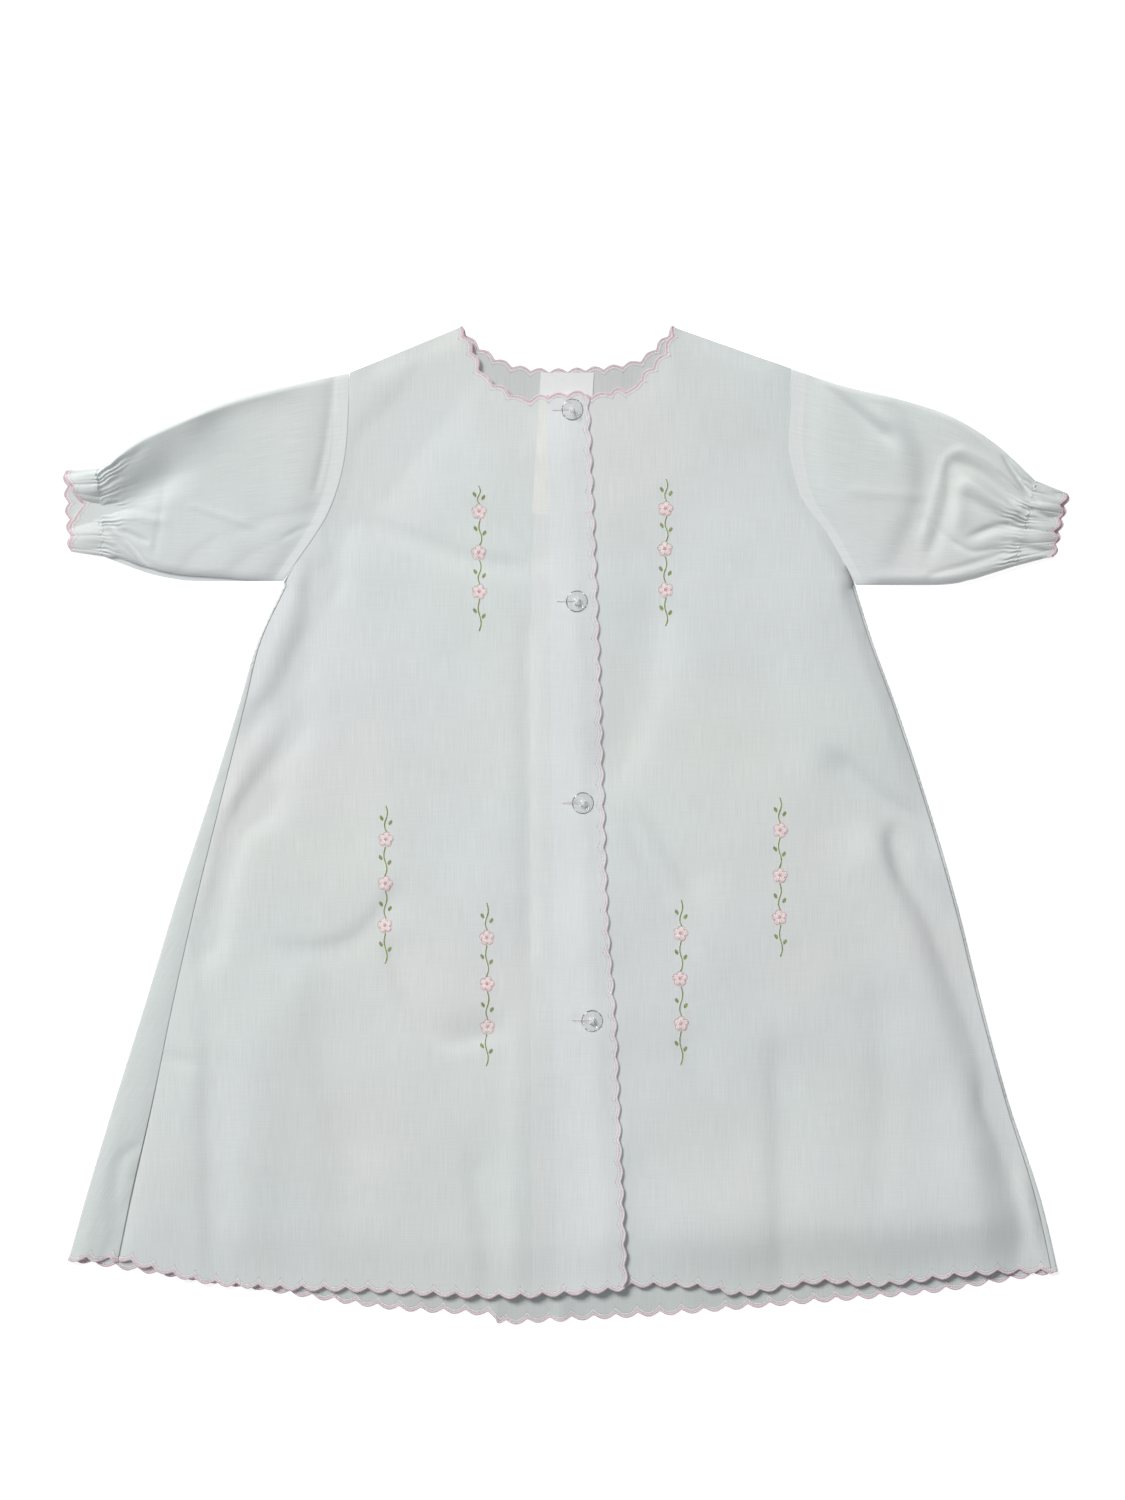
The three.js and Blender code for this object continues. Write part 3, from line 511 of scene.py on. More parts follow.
def make_fibres():
    """Uneven lightness and a fine grain for twisted thread and tape."""
    tree, given, out = new_group(
        "ShaderNodeTree", "thread fibres",
        {"Place": ("Vector", None), "Size": ("Float", 0.3)},
        {"Shade": ("Float", None), "Height": ("Float", None)},
    )
    scale = math(tree, "DIVIDE", 1.0 / MM, given["Size"])
    fine = add(tree, "ShaderNodeTexNoise",
               {"Vector": given["Place"], "Scale": scale, "Detail": 1.0})
    slow = add(tree, "ShaderNodeTexNoise",
               {"Vector": given["Place"], "Scale": 180.0, "Detail": 1.0})
    both = math(tree, "ADD", math(tree, "MULTIPLY", fine.outputs[0], 0.6),
                math(tree, "MULTIPLY", slow.outputs[0], 0.4))
    tree.links.new(both, out["Shade"])
    tree.links.new(fine.outputs[0], out["Height"])
    return tree


def new_material(name, finish):
    """A material and its Principled shader with the values that are the same all over."""
    material = bpy.data.materials.new(name)
    material.use_nodes = True
    shader = material.node_tree.nodes["Principled BSDF"]
    for key, value in finish.items():
        shader.inputs[key].default_value = value
    return material, material.node_tree, shader


CLOTH_FINISH = {"Roughness": 0.86, "Sheen Weight": 0.18, "Sheen Roughness": 0.5,
                "Specular IOR Level": 0.25}
COTTON = {"cool": paint(220, 227, 225), "lilac": paint(220, 222, 226), "warm": paint(225, 225, 221)}
LAYERED = {"doubled": paint(229, 233, 232), "lined": paint(226, 230, 229),
           "tripled": paint(229, 233, 233), "taped": paint(233, 235, 231)}
THIN = 0.86                      # share of its lightness that cloth keeps with nothing lining it


def make_cotton(name, weave, light=1.0, layered=None):
    """Cotton lawn: cool white with lilac and warm clouds, lighter where it lies doubled."""
    material, tree, shader = new_material(name, CLOTH_FINISH)
    base = {key: (*(light * part for part in colour[:3]), 1.0) for key, colour in COTTON.items()}
    grain = add(tree, "ShaderNodeUVMap", uv_map="grain").outputs[0]
    threads = add(tree, "ShaderNodeGroup", node_tree=weave)
    tree.links.new(grain, threads.inputs["Grain"])
    place = add(tree, "ShaderNodeTexCoord").outputs["Object"]
    clouds = {}
    for key, scale, shift in (("lilac", 6.5, 0.0), ("warm", 9.0, 3.7)):
        moved = add(tree, "ShaderNodeMapping", {"Vector": place, "Location": (shift, shift, 0)})
        noise = add(tree, "ShaderNodeTexNoise",
                    {"Vector": moved.outputs[0], "Scale": scale, "Detail": 1.0})
        clouds[key] = spread(tree, noise.outputs[0], 0.42, 0.66)
    colour = blend(tree, math(tree, "MULTIPLY", clouds["lilac"], 0.5), base["cool"], base["lilac"])
    colour = blend(tree, math(tree, "MULTIPLY", clouds["warm"], 0.4), colour, base["warm"])
    for layer in LAYERS_UNDER:
        distance = add(tree, "ShaderNodeAttribute", attribute_name=layer).outputs["Fac"]
        lighter = (layered or LAYERED)[layer]
        colour = blend(tree, spread(tree, distance, -0.4, 0.4), colour, lighter)
    streak = spread(tree, threads.outputs["Streak"], 0.3, 0.7, 0.925, 1.06)
    tint = add(tree, "ShaderNodeCombineColor", {0: streak, 1: streak, 2: streak}).outputs[0]
    tree.links.new(blend(tree, 1.0, colour, tint, "MULTIPLY"), shader.inputs["Base Color"])
    rough = spread(tree, threads.outputs["Streak"], 0.3, 0.7, 0.92, 0.8)
    tree.links.new(rough, shader.inputs["Roughness"])
    bump = add(tree, "ShaderNodeBump", {"Height": threads.outputs["Height"], "Strength": 0.35,
                                        "Distance": 0.05 * MM})
    tree.links.new(bump.outputs[0], shader.inputs["Normal"])
    return material


def make_thread(name, dark, light, fibres, sheen=0.3):
    """Embroidery thread, from a darker to a lighter shade along its fibres."""
    finish = {"Sheen Weight": sheen, "Sheen Roughness": 0.35, "Specular IOR Level": 0.4}
    material, tree, shader = new_material(name, finish)
    place = add(tree, "ShaderNodeTexCoord").outputs["Object"]
    twist = add(tree, "ShaderNodeGroup", {"Place": place, "Size": 0.3}, node_tree=fibres)
    shade = spread(tree, twist.outputs["Shade"], 0.35, 0.65)
    tree.links.new(blend(tree, shade, dark, light), shader.inputs["Base Color"])
    tree.links.new(spread(tree, shade, 0, 1, 0.62, 0.48), shader.inputs["Roughness"])
    bump = add(tree, "ShaderNodeBump", {"Height": twist.outputs["Height"], "Strength": 0.4,
                                        "Distance": 0.05 * MM})
    tree.links.new(bump.outputs[0], shader.inputs["Normal"])
    return material


def make_tape(weave):
    """Smooth white label tape with a close weave."""
    material, tree, shader = new_material("label tape", {**CLOTH_FINISH, "Specular IOR Level": 0.4})
    grain = add(tree, "ShaderNodeUVMap", uv_map="grain").outputs[0]
    threads = add(tree, "ShaderNodeGroup", {"Grain": grain, "Thread": 0.25, "Slub": 4.0},
                  node_tree=weave)
    shade = spread(tree, threads.outputs["Streak"], 0.3, 0.7)
    colour = blend(tree, shade, paint(232, 233, 234), paint(240, 241, 241))
    tree.links.new(colour, shader.inputs["Base Color"])
    tree.links.new(spread(tree, shade, 0, 1, 0.68, 0.56), shader.inputs["Roughness"])
    bump = add(tree, "ShaderNodeBump", {"Height": threads.outputs["Height"], "Strength": 0.3,
                                        "Distance": 0.04 * MM})
    tree.links.new(bump.outputs[0], shader.inputs["Normal"])
    return material


def make_plastic(fibres):
    """Clear button plastic, with faint moulding marks and rubbed roughness."""
    finish = {"Transmission Weight": 1.0, "IOR": 1.49, "Base Color": paint(243, 245, 245)}
    material, tree, shader = new_material("clear plastic", finish)
    place = add(tree, "ShaderNodeTexCoord").outputs["Object"]
    marks = add(tree, "ShaderNodeGroup", {"Place": place, "Size": 1.4}, node_tree=fibres)
    tree.links.new(spread(tree, marks.outputs["Shade"], 0.35, 0.65, 0.03, 0.12),
                   shader.inputs["Roughness"])
    bump = add(tree, "ShaderNodeBump", {"Height": marks.outputs["Height"], "Strength": 0.12,
                                        "Distance": 0.05 * MM})
    tree.links.new(bump.outputs[0], shader.inputs["Normal"])
    return material


def make_floor_paper():
    """Matt white paper that shines a little, so that the ground stays white."""
    material, tree, shader = new_material("white paper",
                                          {"Roughness": 1.0, "Specular IOR Level": 0.0})
    place = add(tree, "ShaderNodeTexCoord").outputs["Object"]
    noise = add(tree, "ShaderNodeTexNoise", {"Vector": place, "Scale": 60.0})
    tree.links.new(spread(tree, noise.outputs[0], 0, 1, 0.99, 1.0), shader.inputs["Roughness"])
    shader.inputs["Base Color"].default_value = (0.9, 0.9, 0.9, 1)
    shader.inputs["Emission Color"].default_value = (1, 1, 1, 1)
    shader.inputs["Emission Strength"].default_value = 0.6
    return material


weave, fibres = make_weave(), make_fibres()
cotton = make_cotton("cotton lawn", weave)
thin_cotton = make_cotton("cotton lawn in one layer", weave, THIN,
                          {**LAYERED, "doubled": COTTON["cool"]})
tape = make_tape(weave)
plastic = make_plastic(fibres)
THREADS = {
    "rim": make_thread("edging rim thread", paint(226, 206, 213), paint(238, 224, 229), fibres),
    "rim_white": make_thread("lap rim thread", paint(233, 224, 228), paint(243, 237, 239), fibres),
    "rim_pink": make_thread("neck rim thread", paint(229, 197, 206), paint(239, 215, 222), fibres),
    "pink": make_thread("edging pink thread", paint(224, 188, 199), paint(235, 205, 214), fibres),
    "white": make_thread("edging white thread", paint(236, 232, 234), paint(246, 243, 244), fibres),
    # a fine stitched line whose grey is partly painted shadow along the stitch holes
    "shade": make_thread("edging fine thread with painted shade", paint(188, 170, 178), paint(208, 190, 198), fibres),
    # painted shadow of the needle holes at the scallops' valleys
    "needle_hole_shadow": make_thread("needle hole shadow", paint(136, 124, 128), paint(164, 150, 154),
                               fibres),
    "petal": make_thread("petal thread", paint(244, 226, 225), paint(250, 238, 236), fibres),
    "petal_edge": make_thread("petal edge thread", paint(219, 166, 173), paint(235, 196, 201),
                              fibres),
    "stem": make_thread("stem thread", paint(136, 150, 102), paint(170, 182, 132), fibres),
    "stem_light": make_thread("light stem thread", paint(212, 217, 178), paint(226, 230, 196),
                              fibres),
}

# ---- Stitches -------------------------------------------------------------------------------


def make_stitch_row():
    """Rounded stitches set one after another along lines, each lying on the cloth there."""
    tree, given, out = new_group(
        "GeometryNodeTree", "row of stitches",
        {"Geometry": ("Geometry", None), "Pitch": ("Float", 1.0), "Length": ("Float", 1.0),
         "Width": ("Float", 0.4), "Height": ("Float", 0.5), "Turn": ("Float", 0.0),
         "Uneven": ("Float", 0.1), "Seed": ("Int", 1), "Thread": ("Material", None)},
        {"Geometry": ("Geometry", None)},
    )
    lines = add(tree, "GeometryNodeMeshToCurve", {"Mesh": given["Geometry"]}).outputs[0]
    spaced = add(tree, "GeometryNodeResampleCurve", {"Curve": lines, "Length": given["Pitch"]},
                 mode="LENGTH")
    up = add(tree, "GeometryNodeInputNamedAttribute", {"Name": "up"},
             data_type="FLOAT_VECTOR").outputs[0]
    ahead = add(tree, "GeometryNodeInputTangent").outputs[0]
    lying = add(tree, "FunctionNodeAxesToRotation", {0: up, 1: ahead}, primary_axis="Z",
                secondary_axis="X")
    wander = add(tree, "FunctionNodeRandomValue", {"Seed": given["Seed"]}, data_type="FLOAT")
    tree.links.new(math(tree, "MULTIPLY", given["Uneven"], -1.0), wander.inputs[2])
    tree.links.new(given["Uneven"], wander.inputs[3])
    turn = math(tree, "ADD", given["Turn"], wander.outputs[1])
    euler = add(tree, "ShaderNodeCombineXYZ", {2: turn}).outputs[0]
    spin = add(tree, "FunctionNodeEulerToRotation", {0: euler}).outputs[0]
    turned = add(tree, "FunctionNodeRotateRotation", {0: lying.outputs[0], 1: spin},
                 rotation_space="LOCAL")
    bead = add(tree, "GeometryNodeMeshUVSphere", {"Segments": 5, "Rings": 3, "Radius": 0.5})
    soft = add(tree, "GeometryNodeSetShadeSmooth", {"Geometry": bead.outputs[0]})
    size = add(tree, "ShaderNodeCombineXYZ",
               {0: given["Length"], 1: given["Width"], 2: given["Height"]})
    longer = math(tree, "ADD", 1.0, wander.outputs[1])
    scale = add(tree, "ShaderNodeVectorMath", {0: size.outputs[0], "Scale": longer},
                operation="SCALE")
    set_out = add(tree, "GeometryNodeInstanceOnPoints", {
        "Points": spaced.outputs[0], "Instance": soft.outputs[0],
        "Rotation": turned.outputs[0], "Scale": scale.outputs[0],
    })
    real = add(tree, "GeometryNodeRealizeInstances", {0: set_out.outputs[0]})
    dyed = add(tree, "GeometryNodeSetMaterial",
               {"Geometry": real.outputs[0], "Material": given["Thread"]})
    tree.links.new(dyed.outputs[0], out["Geometry"])
    return tree


def make_strands():
    """Single strands of thread laid along lines."""
    tree, given, out = new_group(
        "GeometryNodeTree", "laid strands",
        {"Geometry": ("Geometry", None), "Width": ("Float", 0.4), "Thread": ("Material", None)},
        {"Geometry": ("Geometry", None)},
    )
    lines = add(tree, "GeometryNodeMeshToCurve", {"Mesh": given["Geometry"]}).outputs[0]
    radius = math(tree, "MULTIPLY", given["Width"], 0.5)
    round_ = add(tree, "GeometryNodeCurvePrimitiveCircle", {"Resolution": 5, "Radius": radius})
    tube = add(tree, "GeometryNodeCurveToMesh", {
        "Curve": lines, "Profile Curve": round_.outputs[0], "Fill Caps": True,
    })
    soft = add(tree, "GeometryNodeSetShadeSmooth", {"Geometry": tube.outputs[0]})
    real = add(tree, "GeometryNodeRealizeInstances", {0: soft.outputs[0]})
    dyed = add(tree, "GeometryNodeSetMaterial",
               {"Geometry": real.outputs[0], "Material": given["Thread"]})
    tree.links.new(dyed.outputs[0], out["Geometry"])
    return tree


stitch_row, strands = make_stitch_row(), make_strands()


def sew(name, tree, lines, **inputs):
    """What a tree of stitches makes along lines, each with its points and ways up."""
    points = np.vstack([line for line, _ in lines]) * MM
    ups = np.vstack([up for _, up in lines])
    edges, start = [], 0
    for line, _ in lines:
        edges += [(start + i, start + i + 1) for i in range(len(line) - 1)]
        start += len(line)
    mesh = bpy.data.meshes.new(name)
    mesh.from_pydata(points.tolist(), edges, [])
    mesh.attributes.new("up", "FLOAT_VECTOR", "POINT").data.foreach_set("vector", ups.ravel())
    made = bpy.data.objects.new(name, mesh)
    bpy.context.collection.objects.link(made)
    modifier = made.modifiers.new("stitches", "NODES")
    modifier.node_group = tree
    for label, value in inputs.items():
        modifier[tree.interface.items_tree[label].identifier] = value
    seen = made.evaluated_get(bpy.context.evaluated_depsgraph_get())
    made.data = bpy.data.meshes.new_from_object(seen)
    made.modifiers.clear()
    bpy.data.meshes.remove(mesh)
    return made


def joined(name, parts):
    """Several meshes made one, under a new name."""
    for part in bpy.context.selected_objects:
        part.select_set(False)
    for part in parts:
        part.select_set(True)
    bpy.context.view_layer.objects.active = parts[0]
    bpy.ops.object.join()
    parts[0].name = name
    parts[0].data.name = name
    return parts[0]


# ---- Where the cloth lies -----------------------------------------------------------------------

outer_x = {which: reading(SIDES, which) for which in SIGN}
wrap_width = {which: reading(SIDES, which + "_wrap") for which in SIGN}
lap_line = through(RIGHT_LAP)
facing_line = through(FACING_EDGE)
left_edge_line = through(LEFT_EDGE)
UP = np.array([0.0, 0.0, 1.0])
slack = ripples(seed=11, count=26, waves=(22, 80), steep=0.03)
fine_slack = ripples(seed=4, count=16, waves=(7, 16), steep=0.012)


def seam_x(which, y):
    """Distance of a side seam from the middle."""
    return outer_x[which](y) - wrap_width[which](y)


def seam_at(x, y, what):
    """The gap or the dip of the side seams, which grow down the right side."""
    return SEAM[what] + (SEAM_AT_HEM[what] - SEAM[what]) * smooth(*SEAM_OPENS, y) * (x < 0)


def turn_x(which, y):
    """Where the back leaves the ground to turn round to the front."""
    return outer_x[which](y) - CLOTH / 2 - FOLD_RADIUS


upper_edge = np.vstack([
    [SHOULDER_TIP["right"], NECK_POINT["right"]], RIGHT_NECK, LEFT_NECK,
    [NECK_POINT["left"], SHOULDER_TIP["left"]],
])
lower_edge = np.vstack([RIGHT_HEM, LEFT_HEM])


def above_hem(x, y):
    """0 along the hem of the fronts, growing to 1 above it."""
    return smooth(0, HEM_SETTLE["over"], y - np.interp(x, *lower_edge.T))


def settled(x, y):
    """From a little, along the neck, the shoulders and the hem, to 1 between them."""
    below = np.interp(x, *upper_edge.T) - y
    top = TOP_SETTLE["left"] + (1 - TOP_SETTLE["left"]) * smooth(0, TOP_SETTLE["over"], below)
    return top * (HEM_SETTLE["left"] + (1 - HEM_SETTLE["left"]) * above_hem(x, y))


def under_height(x, y):
    """Height of the cloth of a front where nothing lies under it but the back."""
    edge = np.zeros_like(x, float)
    for which, tip in SHOULDER_TIP.items():
        here = x * SIGN[which] >= 0
        armhole = through([tip, *ARMHOLE[which], UNDERARM[which]])
        above = np.abs(x_at(armhole, y))
        edge[here] = np.where(y < SIDE_TOP, seam_x(which, y), above)[here]
    from_seam = edge - np.abs(x)
    fade = smooth(0, np.where(x < 0, EASE_IN["right"], EASE_IN["left"]), from_seam)
    left = FOLDS_AT_SEAM["left"]
    kept = left + (1 - left) * smooth(0, FOLDS_AT_SEAM["over"], from_seam)
    folds = kept * folds_at(BODY_FOLDS, x, y)
    loose = np.maximum(-0.8, fade * (FRONT_EASE + slack(x, y) + fine_slack(x, y)) + folds)
    dip = seam_at(x, y, "dip") * np.exp(-np.maximum(from_seam, 0) / SEAM["over"])
    dip = dip + HEM_SETTLE["drop"] * (1 - above_hem(x, y)) * smooth(0, 14, from_seam)
    below = np.maximum(0, np.interp(x, *upper_edge.T) - y)
    out = np.abs(x)
    at_shoulder = smooth(*SHOULDER_DIP["starts"], out) * (1 - smooth(*SHOULDER_DIP["ends"], out))
    at_shoulder = at_shoulder * np.exp(-(below / SHOULDER_DIP["over"]) ** 2)
    dip = dip + SHOULDER_DIP["deep"] * at_shoulder
    return FRONT_Z + smooth(0, 5, from_seam) * loose * settled(x, y) - dip


def lap_share(x, y):
    """How much of its full rise the lap has here."""
    return LAP_STAYS + (1 - LAP_STAYS) * settled(x, y)


def lap_height(x, y):
    """Height of the lapping front, which settles on the other one at its free edge."""
    inside_edge = x_at(lap_line, y) - x
    at_hem = smooth(*LAP_SETTLE["to_hem"], y)
    drop = LAP_SETTLE["drop"] * (1 - at_hem) + LAP_SETTLE["hem_drop"] * at_hem
    settle = drop * (1 - smooth(0, LAP_SETTLE["over"], inside_edge))
    rise = smooth(*LAP_RISE, x)
    puckers = np.zeros_like(x, float)
    for place in button_places:
        dx, dy = x - place[0], y - place[1]
        form = np.exp(-((dx + BUTTON_PUCKER["to_side"]) / BUTTON_PUCKER["half_wide"]) ** 2
                      - (dy / BUTTON_PUCKER["half_long"]) ** 2)
        down, side_on = BUTTON_PUCKER["waves"]
        puckers += BUTTON_PUCKER["high"] * form * np.cos(dy * down + dx * side_on)
    lifted = lap_share(x, y) * (LAP_LIFT * rise - settle)
    return under_height(x, y) + lifted + puckers * rise


def facing_height(x, y):
    """Height of the facing, between the front under it and the lapping one."""
    return under_height(x, y) + FACING_LIFT * smooth(*LAP_RISE, x) * lap_share(x, y)


def lying(height):
    """Cloth that lies at a height and faces up."""
    def place(x, y):
        middle = np.stack([x, y, height(x, y)], 1)
        return middle, np.broadcast_to(UP, middle.shape)
    return place


# Creases of the back: where it shows at the hem, and on what wraps round to the front
BACK_FOLDS = table(FOLDS, [
    (((-36, -228), (-35, -252)), 3.0, 3.0, 0.8, 1.6),
    (((-2, -232), (-4, -252)), 5.0, 5.0, 0.7),
    (((-6.5, -232), (-8, -252)), 2.2, 2.2, -0.4, 1.6),
    (((60, -232), (62, -250)), 8.0, 8.0, 0.5),
    (((-80, -228), (-80, -246)), 9.0, 9.0, 0.5),
    (((20, 236), (26, 226)), 5.0, 5.0, 0.5),
])
WRAP_FOLDS = table(FOLDS, [
    (((-215, -160), (-223, -167), (-225, -180), (-226, -194)), 4, 2.4, -0.8),
    (((-222, -196), (-228, -210), (-233, -224)), 4, 3, -0.9),
    (((-226, -150), (-234, -180), (-242, -214)), 4.5, 4, 0.5),
])


def place_back(x, y):
    """The back's pattern is flat, with what turns round the sides unrolled outwards."""
    middle = np.stack([x, y, np.full_like(x, BACK_Z)], 1)
    middle[:, 2] += np.maximum(0, folds_at(BACK_FOLDS, x, y))
    facing = np.tile(UP, (len(x), 1))
    for which, sign in SIGN.items():
        past = np.abs(x) - turn_x(which, y)
        on = (x * sign > 0) & (y <= SIDE_TOP) & (past > 0)
        turned = np.minimum(past[on] / FOLD_RADIUS, pi)
        beyond = np.maximum(0, past[on] - pi * FOLD_RADIUS)
        reach = turn_x(which, y[on]) + FOLD_RADIUS * np.sin(turned) - beyond
        middle[on, 0] = sign * reach
        middle[on, 2] = BACK_Z + FOLD_RADIUS * (1 - np.cos(turned))
        from_seam = np.maximum(0, reach - seam_x(which, y[on]))
        loose = smooth(0, 6, beyond) * smooth(0, 5, from_seam)
        middle[on, 2] += loose * (0.25 + folds_at(WRAP_FOLDS, sign * reach, y[on]))
        dip = seam_at(sign, y[on], "dip") * np.exp(-from_seam / SEAM["over"])
        middle[on, 2] -= np.where(beyond > 0, dip, 0) * smooth(0, 1.2, beyond)
        facing[on] = np.stack([-sign * np.sin(turned), 0 * turned, np.cos(turned)], 1)
    return middle, facing


def on_cloth(place, points, lift=0.0):
    """Places on a piece of cloth, raised off its middle, and the way up at each."""
    middle, facing = place(*np.asarray(points, float).T)
    return middle + facing * lift, facing


# ---- The body of the gown -------------------------------------------------------------------

BUTTON_NODES = [f"button_{i}" for i in (1, 2, 3, 4)]


def middle_of(node):
    low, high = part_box(node)
    return [(a + b) / 2 / MM for a, b in zip(low, high)]


button_places = [middle_of(node) for node in BUTTON_NODES]
BUTTONHOLE = {"length": 11, "width": 0.22, "shift": -4.6}


def slit(x, y, length, width, steps=6):
    """A narrow slit with round ends."""
    half, radius = length / 2 - width / 2, width / 2
    turn = np.linspace(-pi / 2, pi / 2, steps)
    end = np.stack([half + radius * np.cos(turn), radius * np.sin(turn)], 1)
    return np.vstack([end, -end]) + (x, y)


def side_line(which, across):
    """A line down one side of the gown, at the distance from the middle that across gives."""
    y = np.linspace(SIDE_TOP, HEM_Y[which], 90)
    return np.stack([SIGN[which] * across(which, y), y], 1)


def unrolled(which, y):
    """How far the back's pattern reaches once what wraps to the front is laid out."""
    turned = turn_x(which, y)
    return turned + pi * FOLD_RADIUS + np.maximum(0.1, turned - seam_x(which, y))


def make_back():
    wrap_end = {which: side_line(which, unrolled) for which in SIGN}
    armhole = {which: through([SHOULDER_TIP[which], *ARMHOLE[which], UNDERARM[which]])
               for which in SIGN}
    hem_fold = {which: (SIGN[which] * turn_x(which, HEM_Y[which]), HEM_Y[which]) for which in SIGN}
    hem = through([wrap_end["right"][-1], hem_fold["right"], *BACK_HEM, hem_fold["left"],
                   wrap_end["left"][-1]])
    neck = through([NECK_POINT["left"], *BACK_NECK[::-1], NECK_POINT["right"]])
    piece = cut_piece(
        side(np.vstack([NECK_POINT["right"], SHOULDER_TIP["right"]])),
        side(armhole["right"]),
        side(np.vstack([UNDERARM["right"], wrap_end["right"][0]])),
        side(wrap_end["right"]),
        side(hem, HEM_SCALLOP),
        side(wrap_end["left"][::-1]),
        side(np.vstack([wrap_end["left"][0], UNDERARM["left"]])),
        side(armhole["left"][::-1]),
        side(np.vstack([SHOULDER_TIP["left"], NECK_POINT["left"]])),
        side(neck, NECK_SCALLOP),
    )
    columns = []
    for which, sign in SIGN.items():
        y = np.arange(SIDE_TOP - 2, HEM_Y[which] + 2, -GRID)
        for step in range(7):
            column = turn_x(which, y) + step / 6 * pi * FOLD_RADIUS
            columns.append(np.stack([sign * column, y], 1))
    under = {"doubled": wrapped}
    return piece, make_shell("cloth_back", fill(piece.loop, GRID, columns), place_back, thin_cotton,
                             under=under)


def wrapped(x, y):
    """How far past its side folds a place on the back's pattern is, where it lies on itself."""
    past = [SIGN[which] * x - turn_x(which, y) - FOLD_RADIUS for which in SIGN]
    return np.where(y < SIDE_TOP, np.maximum(*past), FAR_OUTSIDE)


def front_side(which, hem_y):
    """A front's armhole and side seam, from the shoulder down."""
    y = np.linspace(SIDE_TOP, hem_y, 90)
    seam = np.stack([SIGN[which] * (seam_x(which, y) - seam_at(SIGN[which], y, "gap")), y], 1)
    underarm = seam[0] + (0, UNDERARM_TRIM)
    return through([SHOULDER_TIP[which], *ARMHOLE[which], underarm]), seam


def make_right_front():
    armhole, seam = front_side("right", RIGHT_HEM[0][1])
    hem, lap = rounded_corner(through([seam[-1], *RIGHT_HEM[1:], RIGHT_LAP[-1]]), lap_line[::-1])
    lap, neck = rounded_corner(lap, through([RIGHT_LAP[0], *RIGHT_NECK[::-1], NECK_POINT["right"]]))
    piece = cut_piece(
        side(np.vstack([NECK_POINT["right"], SHOULDER_TIP["right"]])),
        side(armhole),
        side(np.vstack([armhole[-1], seam])),
        side(hem, HEM_SCALLOP),
        side(lap, EDGE_SCALLOP, "rim_white"),
        side(neck, NECK_SCALLOP, "rim_pink"),
    )
    under = {
        "lined": lambda x, y: x - x_at(facing_line, y),
        "tripled": lambda x, y: x - x_at(left_edge_line, y),
        "taped": label_under,
    }
    pattern = fill(piece.loop, GRID, holes=buttonholes())
    return piece, make_shell("cloth_front_right", pattern, lying(lap_height), cotton, under=under)


def label_under(x, y):
    """How far inside the label's lower left edges a place is, where that shows through."""
    fallen = (LABEL["top"] - y) / LABEL["length"]
    left = LABEL["x"] - LABEL["width"] / 2 + LABEL["lean"] * fallen
    strip = np.minimum(x - left, x_at(left_edge_line, y) - x)
    return np.minimum(strip, y - (LABEL["top"] - LABEL["length"]))


def make_left_front():
    armhole, seam = front_side("left", HEM_Y["left"])
    hem = through([LEFT_EDGE[-1], *LEFT_HEM, seam[-1]])
    neck = through([NECK_POINT["left"], *LEFT_NECK[::-1], LEFT_EDGE[0]])
    piece = cut_piece(
        side(left_edge_line),
        side(hem, HEM_SCALLOP),
        side(np.vstack([armhole[-1], seam])[::-1]),
        side(armhole[::-1]),
        side(np.vstack([SHOULDER_TIP["left"], NECK_POINT["left"]])),
        side(neck, NECK_SCALLOP, "rim_pink"),
    )
    pattern = fill(piece.loop, GRID)
    return piece, make_shell("cloth_front_left", pattern, lying(under_height), cotton)


def buttonholes():
    return [slit(x + BUTTONHOLE["shift"], y, BUTTONHOLE["length"], BUTTONHOLE["width"])
            for x, y, _ in button_places]


def make_facing():
    outer = lap_line - (FACING_SETBACK, 0)
    outer[0, 1], outer[-1, 1] = FACING_EDGE[0][1], FACING_EDGE[-1][1] + 1
    piece = cut_piece(side(facing_line), side([facing_line[-1], outer[-1]]), side(outer[::-1]),
                      side([outer[0], facing_line[0]]))
    pattern = fill(piece.loop, GRID, holes=buttonholes())
    return piece, make_shell("cloth_facing", pattern, lying(facing_height), cotton)


def make_label():
    half, low = LABEL["width"] / 2, LABEL["top"] - LABEL["length"]
    corners = [(LABEL["x"] - half, LABEL["top"]), (LABEL["x"] - half + LABEL["lean"], low),
               (LABEL["x"] + half + LABEL["lean"], low), (LABEL["x"] + half, LABEL["top"])]
    piece = cut_piece(*(side([corners[i], corners[(i + 1) % 4]]) for i in range(4)))
    bow = ripples(seed=8, count=5, waves=(18, 40), steep=0.02)
    place = lying(lambda x, y: LABEL["z"] + bow(x, y))
    return piece, make_shell("label_tape", fill(piece.loop, GRID), place, tape, thick=0.3)


back, cloth_back = make_back()
right_front, cloth_right = make_right_front()
left_front, cloth_left = make_left_front()
facing_piece, cloth_facing = make_facing()
label_piece, label_tape = make_label()

# ---- Sleeves --------------------------------------------------------------------------------

